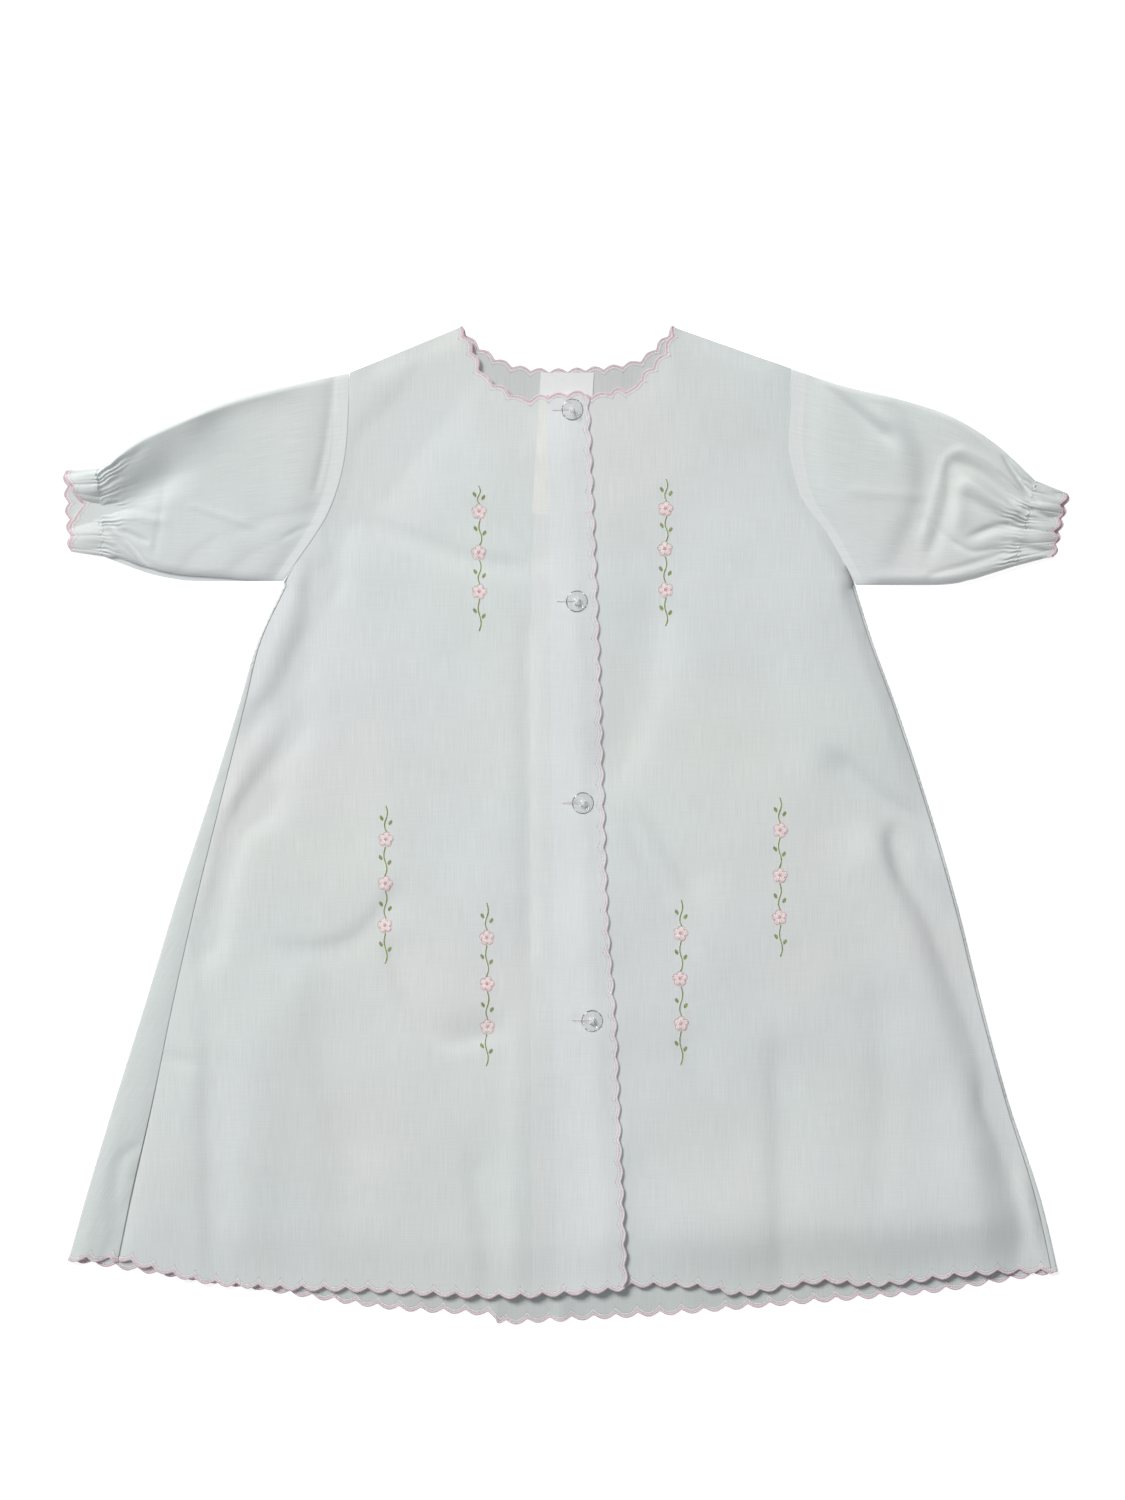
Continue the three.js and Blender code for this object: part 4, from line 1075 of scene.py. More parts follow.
SLEEVES = {
    "right": SimpleNamespace(
        top=[(-108.5, 226.4), (-128, 222.5), (-151, 217.5), (-173, 211), (-203, 198.5),
             (-218, 190.5), (-233, 179)],
        bottom=[(-141.6, 122.5), (-181, 122.4), (-196, 123.5), (-211, 127), (-231, 134.5)],
        cuff=[(-252.2, 178), (-249.6, 137)],
        notch=[(0, 0), (0.2, 3), (0.44, 8.5), (0.52, 6.5), (0.6, 2), (1, 0.5)],
        lip=2.6,
        full=0.86,
        phase=0.6,
        folds=table(FOLDS, [
            (((-146, 222), (-164, 217), (-180, 211)), 8, 4, 2.4),
            (((-194, 209), (-212, 199), (-229, 185)), 18, 7, 7.6),
            (((-202, 172), (-212, 166), (-224, 160), (-240, 155.5), (-250, 155)), 7, 9, -2.8),
            (((-214, 185), (-222, 176), (-230, 168)), 2.2, 2.2, -0.4),
            (((-160, 151), (-172, 155), (-184, 159)), 2, 2, 0.4),
            (((-124, 157), (-142, 154.5), (-160, 149)), 4, 3, -0.3),
            (((-201.5, 165), (-203, 152), (-205, 140)), 2.2, 1.8, -0.35),
            (((-227, 149), (-219, 142), (-211, 132.5)), 1.6, 2.2, -1.4),
            (((-226, 142), (-219, 136), (-213, 130)), 2, 2, 1.2),
            (((-208, 156), (-217, 157.5), (-229, 158.5)), 2.2, 2.2, -0.6),
            (((-206, 153), (-214, 155), (-222, 154)), 3, 3, 0.8),
            (((-213, 143.5), (-221, 147), (-229, 151)), 1.6, 1.6, -0.9),
            (((-178, 141), (-185, 136), (-191, 129)), 6, 3, -0.3),
            (((-150, 138.5), (-158, 134.5), (-165, 129)), 6, 3, -0.3),
            (((-128, 149.2), (-133, 148), (-138, 145.5)), 1.6, 1.6, -0.4),
            (((-115.8, 225), (-117.8, 206), (-120.5, 188), (-124, 172)), 1.4, 2.2, -0.7),
            (((-221, 185), (-231, 177)), 2, 2, 0.5),
            (((-220, 179), (-231, 171.5)), 2, 2, 0.4),
            (((-232, 168), (-242, 167.5), (-252, 170)), 3.5, 4, 1.0),
            (((-232, 146), (-242, 145.5), (-250, 146)), 4, 4, 1.2),
            (((-230, 158), (-240, 157.5), (-252, 158)), 3.5, 4, -1.6),
            (((-236, 176.5), (-252, 176)), 1.4, 1.4, -0.8),
        ]),
    ),
    "left": SimpleNamespace(
        top=[(112.8, 228.4), (127, 223.5), (142, 219), (164, 214), (187, 207), (202, 199.5),
             (217, 189), (234, 173)],
        bottom=[(144.7, 120.5), (187, 120.5), (202, 123), (212, 126), (223, 129.5)],
        cuff=[(252.2, 166.5), (245, 134.5)],
        notch=[(0, 0), (0.15, 2.5), (0.4, 1), (0.6, 2.5), (0.8, 0.5), (1, 1)],
        lip=0,
        full=1.0,
        phase=2.1,
        folds=table(FOLDS, [
            (((121, 226), (134, 215), (147, 204), (157, 196)), 3.5, 3, -1.6),
            (((126, 227), (142, 214), (158, 203)), 4, 5, 1.0),
            (((157, 205), (164, 198), (167, 187)), 6, 4, 0.6),
            (((168, 212), (177, 195), (180, 178), (177, 160), (170, 142)), 14, 7, -2.0),
            (((223, 172), (215, 178.5), (205, 184.5), (196, 187.5), (189, 182.5), (185.5, 171.5),
              (182, 158), (179, 148)), 3.5, 2.2, 0.9),
            (((227, 157), (217, 167.5), (208, 175), (200, 179.5)), 3, 3.2, -1.6),
            (((191, 178), (191, 165), (187, 150), (183, 140)), 4, 3, -0.9),
            (((223, 156), (213, 162.5), (206, 168), (199.5, 171), (196, 166), (195.5, 155)),
             5, 3.2, 1.2),
            (((222, 157), (213, 162.5), (204, 169)), 4, 3, 1.3),
            (((224, 152), (212, 157.5), (200, 163)), 4, 3, -0.8),
            (((230, 148), (222, 149.5), (214, 149), (207, 146.5)), 2.8, 2.2, -1.5),
            (((226, 145), (216, 145), (209, 143.5)), 4, 3, 0.6),
            (((182, 151), (187, 146), (192, 142.5)), 2, 2, -0.8),
            (((213, 138), (203, 137), (195, 140)), 1.8, 1.8, -0.7),
            (((217, 136), (201, 130.5), (186, 126.5)), 2, 2, -0.8),
            (((174, 165), (160, 166), (146, 167)), 3, 3, 0.4),
            (((203, 198.5), (216, 187), (223, 177), (229, 168)), 1.6, 1.6, -1.2),
            (((219, 189), (229, 178)), 1.8, 1.8, 0.7),
            (((221, 181), (227, 172), (233, 165)), 1.3, 1.3, -0.9),
            (((218, 174), (226, 167), (232, 161)), 1.2, 1.2, -0.6),
            (((246, 160.5), (236, 159.5), (228, 160)), 3.5, 3, 1.2),
            (((251, 163.5), (244, 166), (238, 169.5)), 1.8, 2, -1.6),
            (((248, 151.5), (241, 154), (233, 157.5)), 1.4, 1.8, -1.3),
            (((247, 147), (238, 147), (230, 148)), 3, 2.5, 1.0),
            (((247, 134.5), (238, 137), (229, 139)), 2, 2, -1.6),
            (((190, 125), (175, 124.5), (160, 124.5)), 2.5, 3, 0.5),
        ]),
    ),
}
SLEEVE = {"edge": 1.5, "top_roll": 3.5, "bottom_roll": 5, "lip": 1.25, "wall": 0.4, "gap": 0.35,
          "seam": 0.02}
ALLOWANCE = 6.6                  # cloth turned in along the armhole, where it is double
# Cloth half round a sleeve, and from its armhole to its elastic: along is what the weave counts
# by, and to_elastic what the band of doubled cloth at the armhole does
SLEEVE_CLOTH = {"half_round": 105, "along": 130, "to_elastic": 122}
FRILL_SCALLOP = {"count": 5, "depth": 2.2}
GATHERS = 8
# Along a sleeve: 0 is the armhole, 1 the elastic and 2 the end of the frill
STATIONS = table("y height gather pucker", [
    (0, 2.3, 0, 0),
    (0.055, 2.45, 0, 0),
    (0.13, 3.9, 0, 0),
    (0.3, 4.7, 0, 0),
    (0.5, 5.1, 0, 0),
    (0.66, 5.2, 0.04, 0),
    (0.79, 5.0, 0, 0.03),
    (0.88, 4.7, 0.12, 0.1),
    (0.95, 4.3, 0.3, 0.5),
    (1, 4.0, 0.4, 0.7),
    (1.08, 3.9, 0.35, 0.4),
    (1.3, 3.7, 0.3, 0.12),
    (1.6, 3.2, 0.25, 0.05),
    (2, 1.7, 0.15, 0.05),
])
SLEEVE_ROWS = [(0, 0.75, 78), (0.75, 1.12, 42), (1.12, 2, 26)]
SLEEVE_ACROSS = {"upper": 190, "under": 70}


def sleeve_plan(which):
    """Where a sleeve's cloth lies in plan at (at, v), on its upper or under layer."""
    sleeve, sign = SLEEVES[which], SIGN[which]
    hole = [sleeve.top[0], *((x + sign * SLEEVE["seam"], y) for x, y in ARMHOLE[which]),
            sleeve.bottom[0]]
    armhole, top, bottom = through(hole), through(sleeve.top), through(sleeve.bottom)
    elastic = np.array([sleeve.top[-1], sleeve.bottom[-1]])
    corner = {(0, 0): top[0], (0, 1): bottom[0], (1, 0): top[-1], (1, 1): bottom[-1]}

    def plan(at, v, upper=True):
        at, v = np.broadcast_arrays(np.asarray(at, float), np.asarray(v, float))
        u = np.minimum(at, 1)
        place = (
            share_of(top, u) * (1 - v)[..., None] + share_of(bottom, u) * v[..., None]
            + share_of(armhole, v) * (1 - u)[..., None] + share_of(elastic, v) * u[..., None]
        )
        for (end, edge), point in corner.items():
            weight = (u if end else 1 - u) * (v if edge else 1 - v)
            place = place - point * weight[..., None]
        bump = np.abs(np.sin(pi * FRILL_SCALLOP["count"] * v))
        hollow = np.interp(v, *np.transpose(sleeve.notch)) if upper else 0 * v
        start, finish = (np.array(corner) for corner in sleeve.cuff)
        end = start * (1 - v)[..., None] + finish * v[..., None]
        end[..., 0] -= sign * (hollow + FRILL_SCALLOP["depth"] * (1 - bump))
        beyond = np.maximum(at - 1, 0)[..., None]
        return place * (1 - beyond) + end * beyond

    return plan


station = {name: reading(STATIONS, name) for name in ("height", "gather", "pucker")}


def sleeve_top(which, plan, at, v):
    """Height of the sleeve's upper side."""
    sleeve = SLEEVES[which]
    width = np.linalg.norm(plan(np.minimum(at, 1), 0 * v) - plan(np.minimum(at, 1), 0 * v + 1),
                           axis=-1)
    place = plan(at, v)
    x, y = place[..., 0], place[..., 1]
    lip = sleeve.lip * smooth(0.04, 0.5, at) * (1 - smooth(0.9, 1.0, at))
    from_top, from_bottom = v * width, (1 - v) * width - lip
    near = np.minimum(from_top / SLEEVE["top_roll"], from_bottom / SLEEVE["bottom_roll"])
    rolled = np.sqrt(1 - (1 - np.clip(near, 0, 1)) ** 2)
    uneven = (v + 0.03 * np.sin(7 * v + 2 * at + sleeve.phase)
              + 0.012 * np.sin(31 * v + sleeve.phase))
    pleat = np.abs(np.cos(pi * GATHERS * uneven + sleeve.phase)) ** 0.75 * 2 - 1
    reach = 0.5 + 0.5 * np.sin(17 * v + 3 * sleeve.phase) * np.sin(5 * v + sleeve.phase)
    gather = station["gather"](at) * pleat * np.where(at < 1, reach, 1)
    kinked = v + 0.01 * np.sin(40 * v) + 0.006 * np.sin(70 * at + 23 * v)
    small = np.cos(2 * pi * 21 * kinked + 5 * sleeve.phase)
    gather = gather + station["pucker"](at) * small * (0.6 + 0.4 * np.sin(13 * v + sleeve.phase))
    settle = smooth(0, 0.12, at) * (1 - 0.2 * smooth(0.94, 1.0, at) * (1 - smooth(1.0, 1.1, at)))
    loose = slack(x, y) + fine_slack(x, y)
    fold = folds_at(sleeve.folds, x, y) * settle + loose * smooth(0, 0.2, at)
    full = sleeve.full + (1 - sleeve.full) * (1 - smooth(0, 0.15, at))
    height = station["height"](at) * full
    low = np.minimum(SLEEVE["edge"], height)
    rise = np.maximum(0, height - low + gather + fold)
    return np.where(from_bottom < 0, SLEEVE["lip"], low + rolled * rise)


def make_sleeve(which):
    """A sleeve as one wall: an outer skin round it and an inner one, joined at both ends."""
    plan = sleeve_plan(which)
    at = np.concatenate([np.linspace(a, b, n, endpoint=False) for a, b, n in SLEEVE_ROWS] + [[2.0]])
    upper = np.linspace(0, 1, SLEEVE_ACROSS["upper"])
    upper = 0.5 - 0.5 * np.cos(pi * upper) * (0.35 + 0.65 * np.abs(np.cos(pi * upper)) ** 0.5)
    under = np.linspace(1, 0, SLEEVE_ACROSS["under"])[1:-1]
    skins = []
    for wall in (0.0, SLEEVE["wall"]):
        rings = []
        width = np.linalg.norm(plan(at, 0 * at) - plan(at, 0 * at + 1), axis=-1)[:, None]
        squeeze = wall / width
        v = squeeze + (1 - 2 * squeeze) * upper[None, :]
        stations = at[:, None] + 0 * v
        top = plan(stations, v, True)
        z = sleeve_top(which, plan, stations, v)
        if wall:
            z = np.maximum(z - wall, wall + SLEEVE["gap"])
        rings.append(np.concatenate([top, z[..., None]], -1))
        v_under = squeeze + (1 - 2 * squeeze) * under[None, :]
        bottom = plan(at[:, None] + 0 * v_under, v_under, False)
        rings.append(np.concatenate([bottom, np.full(v_under.shape + (1,), wall)], -1))
        skins.append(np.concatenate(rings, 1))
    ring = np.concatenate([skins[0], skins[1][::-1]])
    rows, around = ring.shape[:2]
    index = np.arange(rows * around).reshape(rows, around)
    a, b = index, np.roll(index, -1, 1)
    c, d = np.roll(index, -1, 0), np.roll(np.roll(index, -1, 0), -1, 1)
    order = (a, b, d, c) if which == "left" else (a, c, d, b)
    faces = np.stack([part.ravel() for part in order], 1).tolist()
    everywhere = np.concatenate([at, at[::-1]])
    across = np.concatenate([upper, 2 - under]) * SLEEVE_CLOTH["half_round"]
    along = everywhere[:, None] * SLEEVE_CLOTH["along"]
    grain = np.stack(np.broadcast_arrays(across[None, :], along), -1).reshape(-1, 2)
    seam = ALLOWANCE - everywhere[:, None] * SLEEVE_CLOTH["to_elastic"] * np.ones((1, around))
    made = make_object("cloth_sleeve_" + which, ring.reshape(-1, 3), faces, cotton, grain,
                       {"doubled": seam.ravel()})
    return plan, made


sleeve_plans, sleeve_cloth = {}, {}
for which in SIGN:
    sleeve_plans[which], sleeve_cloth[which] = make_sleeve(which)

# ---- Scalloped edging -----------------------------------------------------------------------

RIM = {"width": 1.2, "pitch": 0.5, "stitch": 0.42}
# Sewn lines inside a rim. cusp is the share of the rim's own that they follow at a valley.
LINES = table("thread inset cusp pitch length width", [
    ("pink", 1.3, 0.1, 1.0, 1.45, 0.55),
    ("white", 1.95, 0.7, 1.0, 1.5, 0.7),
    # the shade line: fine stitches, their grey partly painted shadow along the stitch holes
    ("shade", 2.65, 1.0, 1.0, 1.15, 0.3),
])
THROUGH = 0.7                     # height of a stitch that shows on both sides of the cloth
# Short dark strands at each scallop's valley: painted shadow of the needle holes
NEEDLE_HOLE_SHADOW = {"inset": 2.3, "length": 0.7, "width": 0.45}


def edging(name, rims):
    """Satin stitches over scalloped rims, then sewn lines that follow them inside.

    Each rim has its thread, and inset, which gives the places and ways up at a distance in."""
    parts = []
    for thread in sorted({rim.thread for rim in rims}):
        parts.append(sew(
            f"{name}_{thread}", stitch_row,
            [rim.inset(RIM["width"] / 2, 0) for rim in rims if rim.thread == thread],
            Pitch=RIM["pitch"] * MM, Length=RIM["width"] * 1.15 * MM,
            Width=RIM["stitch"] * 1.5 * MM,
            Height=0.8 * MM, Turn=pi / 2, Uneven=0.12, Seed=3, Thread=THREADS[thread],
        ))
    for line in LINES:
        parts.append(sew(
            f"{name}_{line.thread}", stitch_row, [rim.inset(line.inset, line.cusp) for rim in rims],
            Pitch=line.pitch * MM, Length=line.length * MM, Width=line.width * MM,
            Height=THROUGH * MM, Turn=0.0, Uneven=0.1, Seed=5, Thread=THREADS[line.thread],
        ))
    # a short dark strand at each valley, as painted shadow of the needle holes
    holes = []
    for rim in rims:
        ends = [rim.inset(NEEDLE_HOLE_SHADOW["inset"] + reach, 1.0, True)
                for reach in (0, NEEDLE_HOLE_SHADOW["length"])]
        holes += [tuple(np.stack([end[part][i] for end in ends]) for part in (0, 1))
                  for i in rim.valleys]
    parts.append(sew(name + "_hole_shadows", strands, holes, Width=NEEDLE_HOLE_SHADOW["width"] * MM,
                     Thread=THREADS["needle_hole_shadow"]))
    return joined(name, parts)


def valleys_of(bump):
    """Where a rim's scallops meet."""
    return np.flatnonzero((bump[1:-1] < bump[:-2]) & (bump[1:-1] < bump[2:])) + 1


def flat_rims(piece, place):
    """The rims of a cut piece, for edging."""
    def make(rim):
        def inset(distance, cusp, every=False):
            reach = distance + cusp * rim.cusp * (1 - rim.bump) ** 3
            at = rim.points + rim.inward * reach[:, None]
            apart = np.linalg.norm(at[:, None] - rim.points, axis=2).min(1)
            return on_cloth(place, at[(apart > 0.85 * distance) | every])
        return SimpleNamespace(inset=inset, thread=rim.thread, valleys=valleys_of(rim.bump))
    return [make(rim) for rim in piece.rims]


def frill_rims(which):
    """The rims of a sleeve's frill, on its upper and its under layer. They keep every place."""
    plan = sleeve_plans[which]
    v = np.linspace(0.015, 0.985, 121)
    bump = np.abs(np.sin(pi * FRILL_SCALLOP["count"] * v))

    def make(upper):
        def inset(distance, cusp, every=True):
            frill = np.linalg.norm(plan(2 + 0 * v, v, upper) - plan(1 + 0 * v, v, upper), axis=-1)
            at = 2 - (distance + cusp * EDGE_SCALLOP["cusp"] * (1 - bump) ** 3) / frill
            if upper:
                z = sleeve_top(which, plan, at, v) - SLEEVE["wall"] / 2
            else:
                z = np.full_like(v, SLEEVE["wall"] / 2)
            place = plan(at, v, upper)
            return np.column_stack([place, z]), np.tile(UP, (len(v), 1))
        return SimpleNamespace(inset=inset, thread="rim_pink", valleys=valleys_of(bump))

    return [make(True), make(False)]


place_right, place_left = lying(lap_height), lying(under_height)
edgings = {
    "back": edging("edging_back", flat_rims(back, place_back)),
    "front_right": edging("edging_front_right", flat_rims(right_front, place_right)),
    "front_left": edging("edging_front_left", flat_rims(left_front, place_left)),
    "sleeve_right": edging("edging_sleeve_right", frill_rims("right")),
    "sleeve_left": edging("edging_sleeve_left", frill_rims("left")),
}

# ---- Embroidery -------------------------------------------------------------------------------

SPRAYS = {
    "right": table("x top flowers foot", [
        (-43.5, 169.5, (157, 136.5, 117), 98),
        (-90.3, 10, (-6.5, -28.5, -49.5), -68),
        (-39.75, -38.5, (-55.5, -78.5, -100), -119),
    ]),
    "left": table("x top flowers foot", [
        (49.5, 173, (158.5, 138.5, 118), 100.5),
        (106.5, 14, (-2, -24.5, -45.5), -64.5),
        (57, -37, (-53.5, -76, -98.5), -118.5),
    ]),
}
FLOWER = {"radius": 3.75, "petals": 5, "petal": 1.75, "heart": 0.85, "satin": 7}
STEM = {"sway": 0.9, "gap": 0.4, "width": 0.62}
THREAD_WIDTH = {"satin": 0.56, "outline": 0.36, "heart": 0.34, "light": 0.9, "leaf": 0.46}
THREAD_LIFT = {"satin": 0.16, "outline": 0.26, "heart": 0.36, "light": 0.08, "stem": 0.42,
               "leaf": 0.2}
LEAF = {"length": 2.7, "strands": 4, "pitch": 0.42, "out": 2.2}


def petal_lines(x, y, turn, petal):
    """One petal's outline, and the satin strands that fill it."""
    way = turn + 2 * pi * petal / FLOWER["petals"]
    out = FLOWER["radius"] - FLOWER["petal"]
    centre = np.array([x, y]) + out * np.array([cos(way), sin(way)])
    swing = np.linspace(way - 2.25, way + 2.25, 15)
    outline = centre + FLOWER["petal"] * np.stack([np.cos(swing), np.sin(swing)], 1)
    satin = []
    for i in range(FLOWER["satin"]):
        side_way = way + (i / (FLOWER["satin"] - 1) - 0.5) * 1.05
        spoke = np.array([cos(side_way), sin(side_way)])
        fall = 1 - 0.32 * (2 * i / (FLOWER["satin"] - 1) - 1) ** 2
        ends = np.array([FLOWER["heart"], (FLOWER["radius"] - 0.35) * fall])
        satin.append(np.array([x, y]) + spoke * np.linspace(*ends, 4)[:, None])
    return outline, satin


def flower_lines(x, y, turn):
    """Outlines, satin and the heart's short stitches of one flower."""
    outlines, satin, heart = [], [], []
    for petal in range(FLOWER["petals"]):
        outline, strands_here = petal_lines(x, y, turn, petal)
        outlines.append(outline)
        satin += strands_here
        way = turn + 2 * pi * (petal + 0.5) / FLOWER["petals"]
        heart.append(np.array([x, y]) + np.outer([0.1, 0.7, 1.3], [cos(way), sin(way)]))
    return outlines, satin, heart


def stem_lines(x, high, low, bend):
    """A swaying stem from high to low, and strands of a leaf on each side of it."""
    t = np.linspace(0, 1, 17)
    length = high - low
    stem = np.stack([x + bend * STEM["sway"] * np.sin(2 * pi * t) * (0.6 + 0.4 * t),
                     high - length * t], 1)
    leaves = []
    for leaf_side, share in ((-1, 0.42), (1, 0.6)):
        centre = np.array([x + leaf_side * LEAF["out"], high - length * (share + 0.06 * bend)])
        for i in range(LEAF["strands"]):
            out = (i - (LEAF["strands"] - 1) / 2) / (LEAF["strands"] / 2)
            half = LEAF["length"] / 2 * np.sqrt(1 - 1.25 * out * out)
            lean = np.array([leaf_side * 0.35, 0.94])
            offset = np.array([out * LEAF["strands"] / 2 * LEAF["pitch"], 0])
            leaves.append(centre + offset + lean * np.linspace(-half, half, 4)[:, None])
    return stem, leaves


def embroider(which, place):
    """The sprays of one front: flowers in one mesh, and stems with leaves in another."""
    random = np.random.default_rng(21 + SIGN[which])
    found = {key: [] for key in ("outline", "satin", "heart", "stem", "leaf")}
    for spray in SPRAYS[which]:
        for y in spray.flowers:
            drift = random.uniform(-0.5, 0.5)
            lines = flower_lines(spray.x + drift, y, pi / 2 + random.uniform(-0.3, 0.3))
            for key, part in zip(("outline", "satin", "heart"), lines):
                found[key] += part
        reach = FLOWER["radius"] + STEM["gap"]
        highs = [spray.top, *(y - reach for y in spray.flowers)]
        lows = [*(y + reach for y in spray.flowers), spray.foot]
        for i, (high, low) in enumerate(zip(highs, lows)):
            stem, leaves = stem_lines(spray.x + random.uniform(-0.3, 0.3), high, low, (-1) ** i)
            found["stem"].append(stem)
            found["leaf"] += leaves

    def laid(key, lift):
        return [on_cloth(place, line, lift) for line in found[key]]

    flowers = joined("flowers_" + which, [
        sew("satin", strands, laid("satin", THREAD_LIFT["satin"]),
            Width=THREAD_WIDTH["satin"] * MM, Thread=THREADS["petal"]),
        sew("outline", stitch_row, laid("outline", THREAD_LIFT["outline"]), Pitch=0.72 * MM,
            Length=0.95 * MM,
            Width=THREAD_WIDTH["outline"] * MM, Height=0.4 * MM, Turn=0.0, Uneven=0.14, Seed=7,
            Thread=THREADS["petal_edge"]),
        sew("heart", strands, laid("heart", THREAD_LIFT["heart"]),
            Width=THREAD_WIDTH["heart"] * MM, Thread=THREADS["petal_edge"]),
    ])
    stems = joined("stems_" + which, [
        sew("light", strands, laid("stem", THREAD_LIFT["light"]),
            Width=THREAD_WIDTH["light"] * MM, Thread=THREADS["stem_light"]),
        sew("stem", stitch_row, laid("stem", THREAD_LIFT["stem"]), Pitch=0.85 * MM,
            Length=1.25 * MM, Width=STEM["width"] * MM,
            Height=0.5 * MM, Turn=0.0, Uneven=0.15, Seed=9, Thread=THREADS["stem"]),
        sew("leaf", strands, laid("leaf", THREAD_LIFT["leaf"]),
            Width=THREAD_WIDTH["leaf"] * MM, Thread=THREADS["stem"]),
    ])
    return flowers, stems


flowers, stems = {}, {}
for which, place in (("right", place_right), ("left", place_left)):
    flowers[which], stems[which] = embroider(which, place)

# ---- Buttons ----------------------------------------------------------------------------------

BUTTON = {"radius": 5.6, "rim": 1.1, "thick": 2.0, "dish": 0.75}
BUTTON_HOLE = {"radius": 0.62, "out": 1.45}
BUTTON_DROP = 0.2


def revolve(profile, steps):
    """A closed form turned round the Z axis from a profile that starts and ends on it."""
    inner = np.array(profile[1:-1])
    turn = np.linspace(0, 2 * pi, steps, endpoint=False)
    rings = np.stack([np.outer(inner[:, 0], np.cos(turn)), np.outer(inner[:, 0], np.sin(turn)),
                      np.repeat(inner[:, 1:], steps, 1)], -1).reshape(-1, 3)
    low, high = len(rings), len(rings) + 1
    vertices = np.vstack([rings, [(0, 0, profile[0][1]), (0, 0, profile[-1][1])]])
    last = (len(inner) - 1) * steps
    faces = []
    for i in range(steps):
        j = (i + 1) % steps
        faces.append((low, j, i))
        faces.append((high, last + i, last + j))
        for r in range(len(inner) - 1):
            faces.append((r * steps + i, r * steps + j, (r + 1) * steps + j, (r + 1) * steps + i))
    return vertices, faces


def rounded(profile, steps=5):
    """A profile with its inner corners eased into curves."""
    points = [profile[0]]
    for a, b, c in zip(profile, profile[1:], profile[2:]):
        a, b, c = (np.array(p, float) for p in (a, b, c))
        near_a, near_c = b + (a - b) * 0.35, b + (c - b) * 0.35
        for t in np.linspace(0, 1, steps):
            points.append(tuple((1 - t) ** 2 * near_a + 2 * t * (1 - t) * b + t * t * near_c))
    return [*points, profile[-1]]


def make_button(node, place):
    """A clear four-hole button with a raised rim, and the thread that holds it."""
    x, y, _ = place
    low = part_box(node)[1][2] / MM - BUTTON["thick"] - BUTTON_DROP
    r, rim, thick = BUTTON["radius"], BUTTON["rim"], BUTTON["thick"]
    profile = rounded([
        (0, 0.15), (r - 2.2 * rim, 0.1), (r - rim, 0), (r, 0.5 * thick), (r - 0.45 * rim, thick),
        (r - 1.5 * rim, thick - 0.1), (r - 1.9 * rim, thick - BUTTON["dish"]),
        (0.4 * r, thick - BUTTON["dish"] - 0.12), (0, thick - BUTTON["dish"]),
    ])
    body = make_object(node.replace("button", "clear_button"), *revolve(profile, 56), plastic)
    cutters = []
    for i in range(4):
        turn = pi / 4 + i * pi / 2
        pin = [(0, -1), (BUTTON_HOLE["radius"], -1), (BUTTON_HOLE["radius"], 4), (0, 4)]
        vertices, faces = revolve(pin, 14)
        out = BUTTON_HOLE["out"]
        cutters.append(make_object("pin", vertices + (out * cos(turn), out * sin(turn), 0), faces,
                                   plastic))
    for cutter in cutters:
        body.modifiers.new("hole", "BOOLEAN").object = cutter
    seen = body.evaluated_get(bpy.context.evaluated_depsgraph_get())
    mesh = bpy.data.meshes.new_from_object(seen)
    body.modifiers.clear()
    body.data = mesh
    for cutter in cutters:
        bpy.data.objects.remove(cutter)
    mesh.transform(Matrix.Translation((x * MM, y * MM, low * MM)))
    body.visible_shadow = body.visible_diffuse = False
    mesh.shade_smooth()
    mesh.set_sharp_from_angle(angle=radians(40))
    top = low + thick - BUTTON["dish"]
    strand_lines = []
    for lean in (-1, 1):
        for shift in (-0.22, 0.22):
            t = np.linspace(-1, 1, 9)
            reach = BUTTON_HOLE["out"] * cos(pi / 4)
            arch = top + 0.4 * (1 - t**4) - 1.6 * np.maximum(0, np.abs(t) - 0.82) / 0.18
            line = np.stack([x + reach * t * 1.05, y + lean * reach * t * 1.05 + shift, arch], 1)
            strand_lines.append((line, np.tile(UP, (len(t), 1))))
    foot = np.linspace(0, 1, 5)
    for dx, dy in ((-0.3, 0), (0.3, 0.1), (0, -0.3)):
        line = np.stack([x + dx + 0 * foot, y + dy + 0 * foot, low - 1.6 + 1.9 * foot], 1)
        strand_lines.append((line, np.tile(UP, (len(foot), 1))))
    thread = sew(node.replace("button", "button_thread"), strands, strand_lines, Width=0.5 * MM,
                 Thread=THREADS["white"])
    return body, thread


def make_buttonhole_stitches():
    """Close stitches down both sides of each buttonhole, and a bar at its ends."""
    lines = []
    for loop in buttonholes():
        middle = loop.mean(0)
        spread_out = middle + (loop - middle) * (1.03, 3.2)
        closed = np.vstack([spread_out, spread_out[:1]])
        lines.append(on_cloth(place_right, closed, 0.08))
    return sew("buttonhole_stitches", stitch_row, lines, Pitch=0.42 * MM, Length=0.95 * MM,
               Width=0.42 * MM, Height=0.6 * MM, Turn=pi / 2, Uneven=0.12, Seed=13,
               Thread=THREADS["rim_white"])


buttons = [make_button(node, place) for node, place in zip(BUTTON_NODES, button_places)]
buttonhole_stitches = make_buttonhole_stitches()

# ---- Frame, and the size of each cut piece ------------------------------------------------------


def stand_in(piece, slot, *nodes):
    """A piece that rides on the one body, with the solids that it stands for hidden. slot is not
    used.
    """
    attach(piece, "root")
    if nodes:
        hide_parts(*nodes)


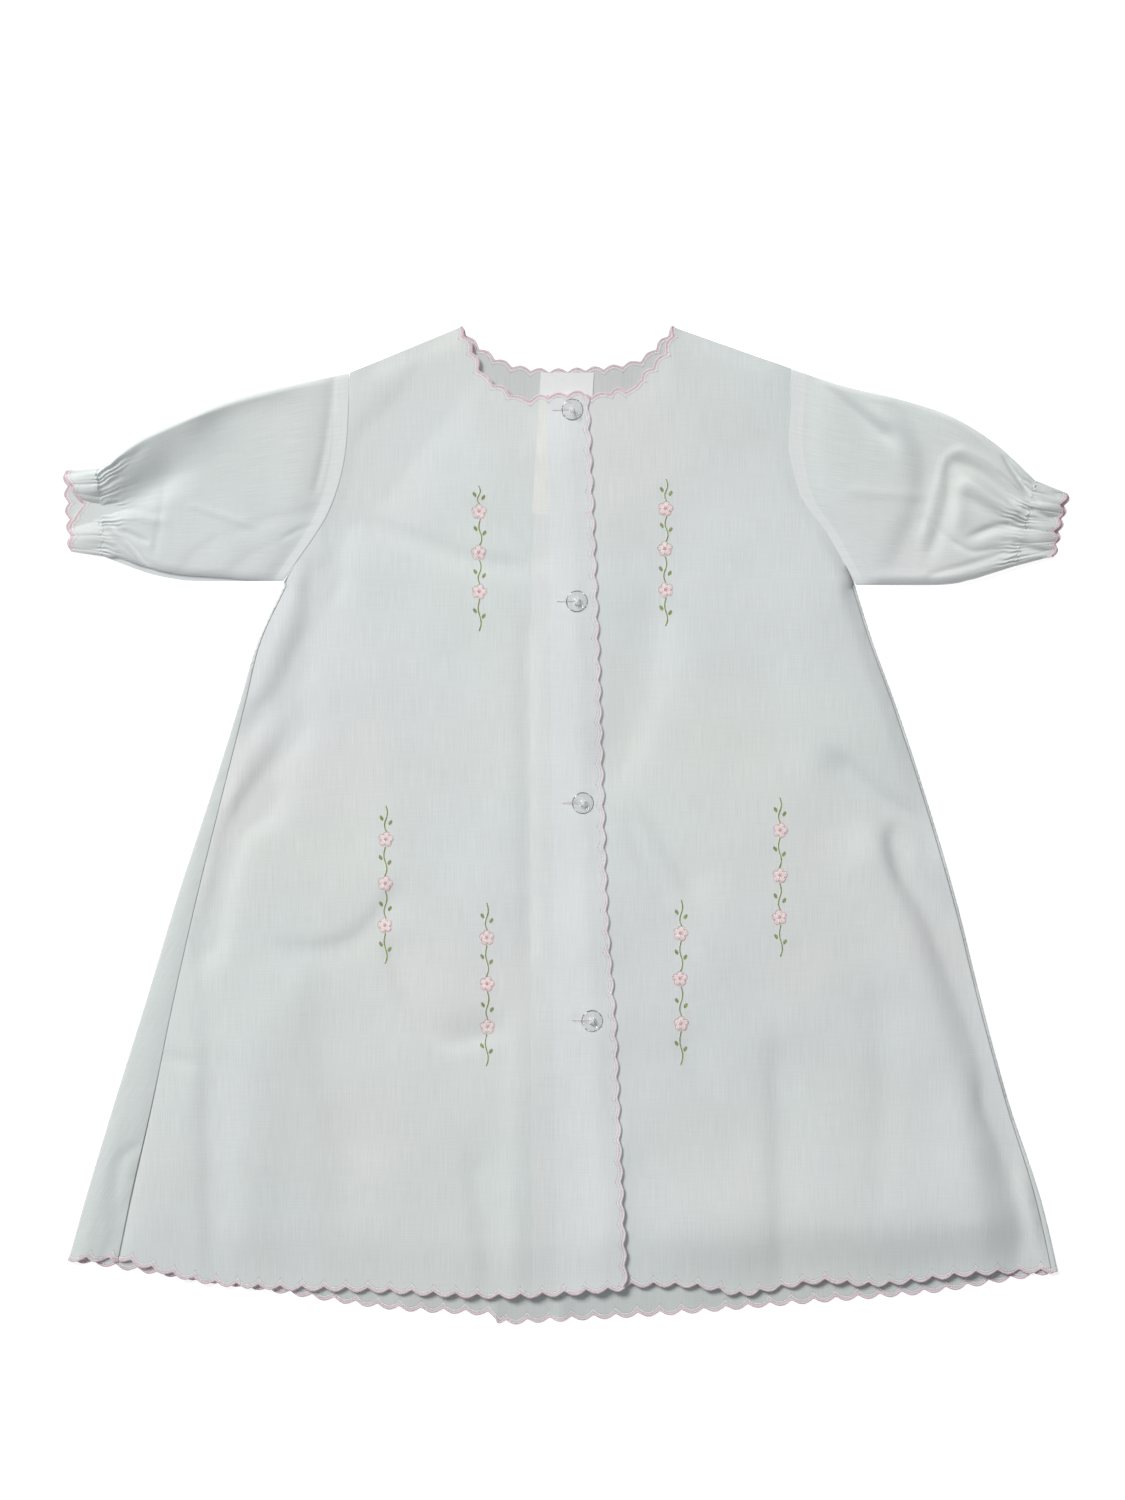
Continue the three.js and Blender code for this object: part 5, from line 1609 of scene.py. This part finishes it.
for piece, node in ((cloth_back, "back"), (cloth_right, "front_right"), (cloth_left, "front_left"),
                    (cloth_facing, "front_facing"), (sleeve_cloth["right"], "sleeve_right"),
                    (sleeve_cloth["left"], "sleeve_left")):
    stand_in(piece, "cotton", node)
stand_in(label_tape, "label", "neck_label")
for piece in edgings.values():
    stand_in(piece, "edging")
for which in SIGN:
    stand_in(flowers[which], "flower_thread")
    stand_in(stems[which], "stem_thread")
stand_in(buttonhole_stitches, "edging")
for (body, thread), node in zip(buttons, BUTTON_NODES):
    stand_in(body, "button", node)
    stand_in(thread, "edging")


def declare(piece, loop, **facts):
    """The box round a piece's pattern and its area, worked out but not kept."""
    width, length = np.ptp(loop, axis=0) * MM
    area_of(loop) * MM * MM


declare(cloth_back, back.loop, held="laid", with_pieces=[edgings["back"]])
declare(cloth_right, right_front.loop, held="laid", rests_on=["back", "front_facing"],
        with_pieces=[edgings["front_right"], flowers["right"], stems["right"], buttonhole_stitches])
declare(cloth_left, left_front.loop, held="laid", rests_on=["back"],
        with_pieces=[edgings["front_left"], flowers["left"], stems["left"]])
declare(cloth_facing, facing_piece.loop, held="laid", rests_on=["front_left"])
declare(label_tape, label_piece.loop, held="laid", rests_on=["back"])

# ---- Floor, light and camera ------------------------------------------------------------------


def make_stage():
    mesh = bpy.data.meshes.new("floor")
    reach = 6.0
    mesh.from_pydata([(-reach, -reach, 0), (reach, -reach, 0), (reach, reach, 0),
                      (-reach, reach, 0)],
                     [], [(0, 1, 2, 3)])
    mesh.materials.append(make_floor_paper())
    floor = bpy.data.objects.new("floor", mesh)
    bpy.context.collection.objects.link(floor)


KEY = {"from": (-0.62, 0.7, 0.78), "strength": 2.55, "soft": 22, "colour": (1.0, 1.0, 0.985)}
FILL = {"strength": 0.2, "colour": (0.96, 0.95, 1.0)}
# Lamps high above, each with a soft pool of light: one over all but the lower left corner, and
# one over the left front and sleeve
POOLS = table("name x y watts cone blend", [
    ("overhead", -0.14, 0.11, 116, 15.0, 0.67),
    ("second_overhead", 0.16, 0.13, 32, 7.0, 1.0),
])
POOL = {"high": 4.0, "size": 0.3}
CAMERA = {"high": 2.0, "x": -0.002, "y": 0.038, "view": 0.75, "sensor": 36.0}


def make_light():
    sun = bpy.data.lights.new("key", "SUN")
    sun.energy = KEY["strength"]
    sun.angle = radians(KEY["soft"])
    sun.color = KEY["colour"]
    key = bpy.data.objects.new("key", sun)
    key.rotation_euler = Vector(KEY["from"]).to_track_quat("Z", "Y").to_euler()
    bpy.context.collection.objects.link(key)
    for pool in POOLS:
        spot = bpy.data.lights.new(pool.name, "SPOT")
        spot.energy = pool.watts
        spot.spot_size = radians(pool.cone)
        spot.spot_blend = pool.blend
        spot.shadow_soft_size = POOL["size"]
        lamp = bpy.data.objects.new(pool.name, spot)
        lamp.location = (pool.x, pool.y, POOL["high"])
        lamp.visible_glossy = lamp.visible_transmission = False
        bpy.context.collection.objects.link(lamp)
    world = bpy.data.worlds.new("soft room")
    world.use_nodes = True
    world.node_tree.nodes["Background"].inputs["Color"].default_value = (*FILL["colour"], 1)
    world.node_tree.nodes["Background"].inputs["Strength"].default_value = FILL["strength"]
    bpy.context.scene.world = world


def make_camera():
    """A camera straight above, whose frame is CAMERA's view high at the cloth."""
    lens = bpy.data.cameras.new("camera")
    lens.sensor_width = CAMERA["sensor"]
    lens.lens = CAMERA["sensor"] * CAMERA["high"] / CAMERA["view"]
    camera = bpy.data.objects.new("camera", lens)
    camera.location = (CAMERA["x"], CAMERA["y"], CAMERA["high"])
    bpy.context.collection.objects.link(camera)
    bpy.context.scene.camera = camera
    bpy.context.scene.view_settings.view_transform = "Standard"


make_stage()
make_light()
make_camera()
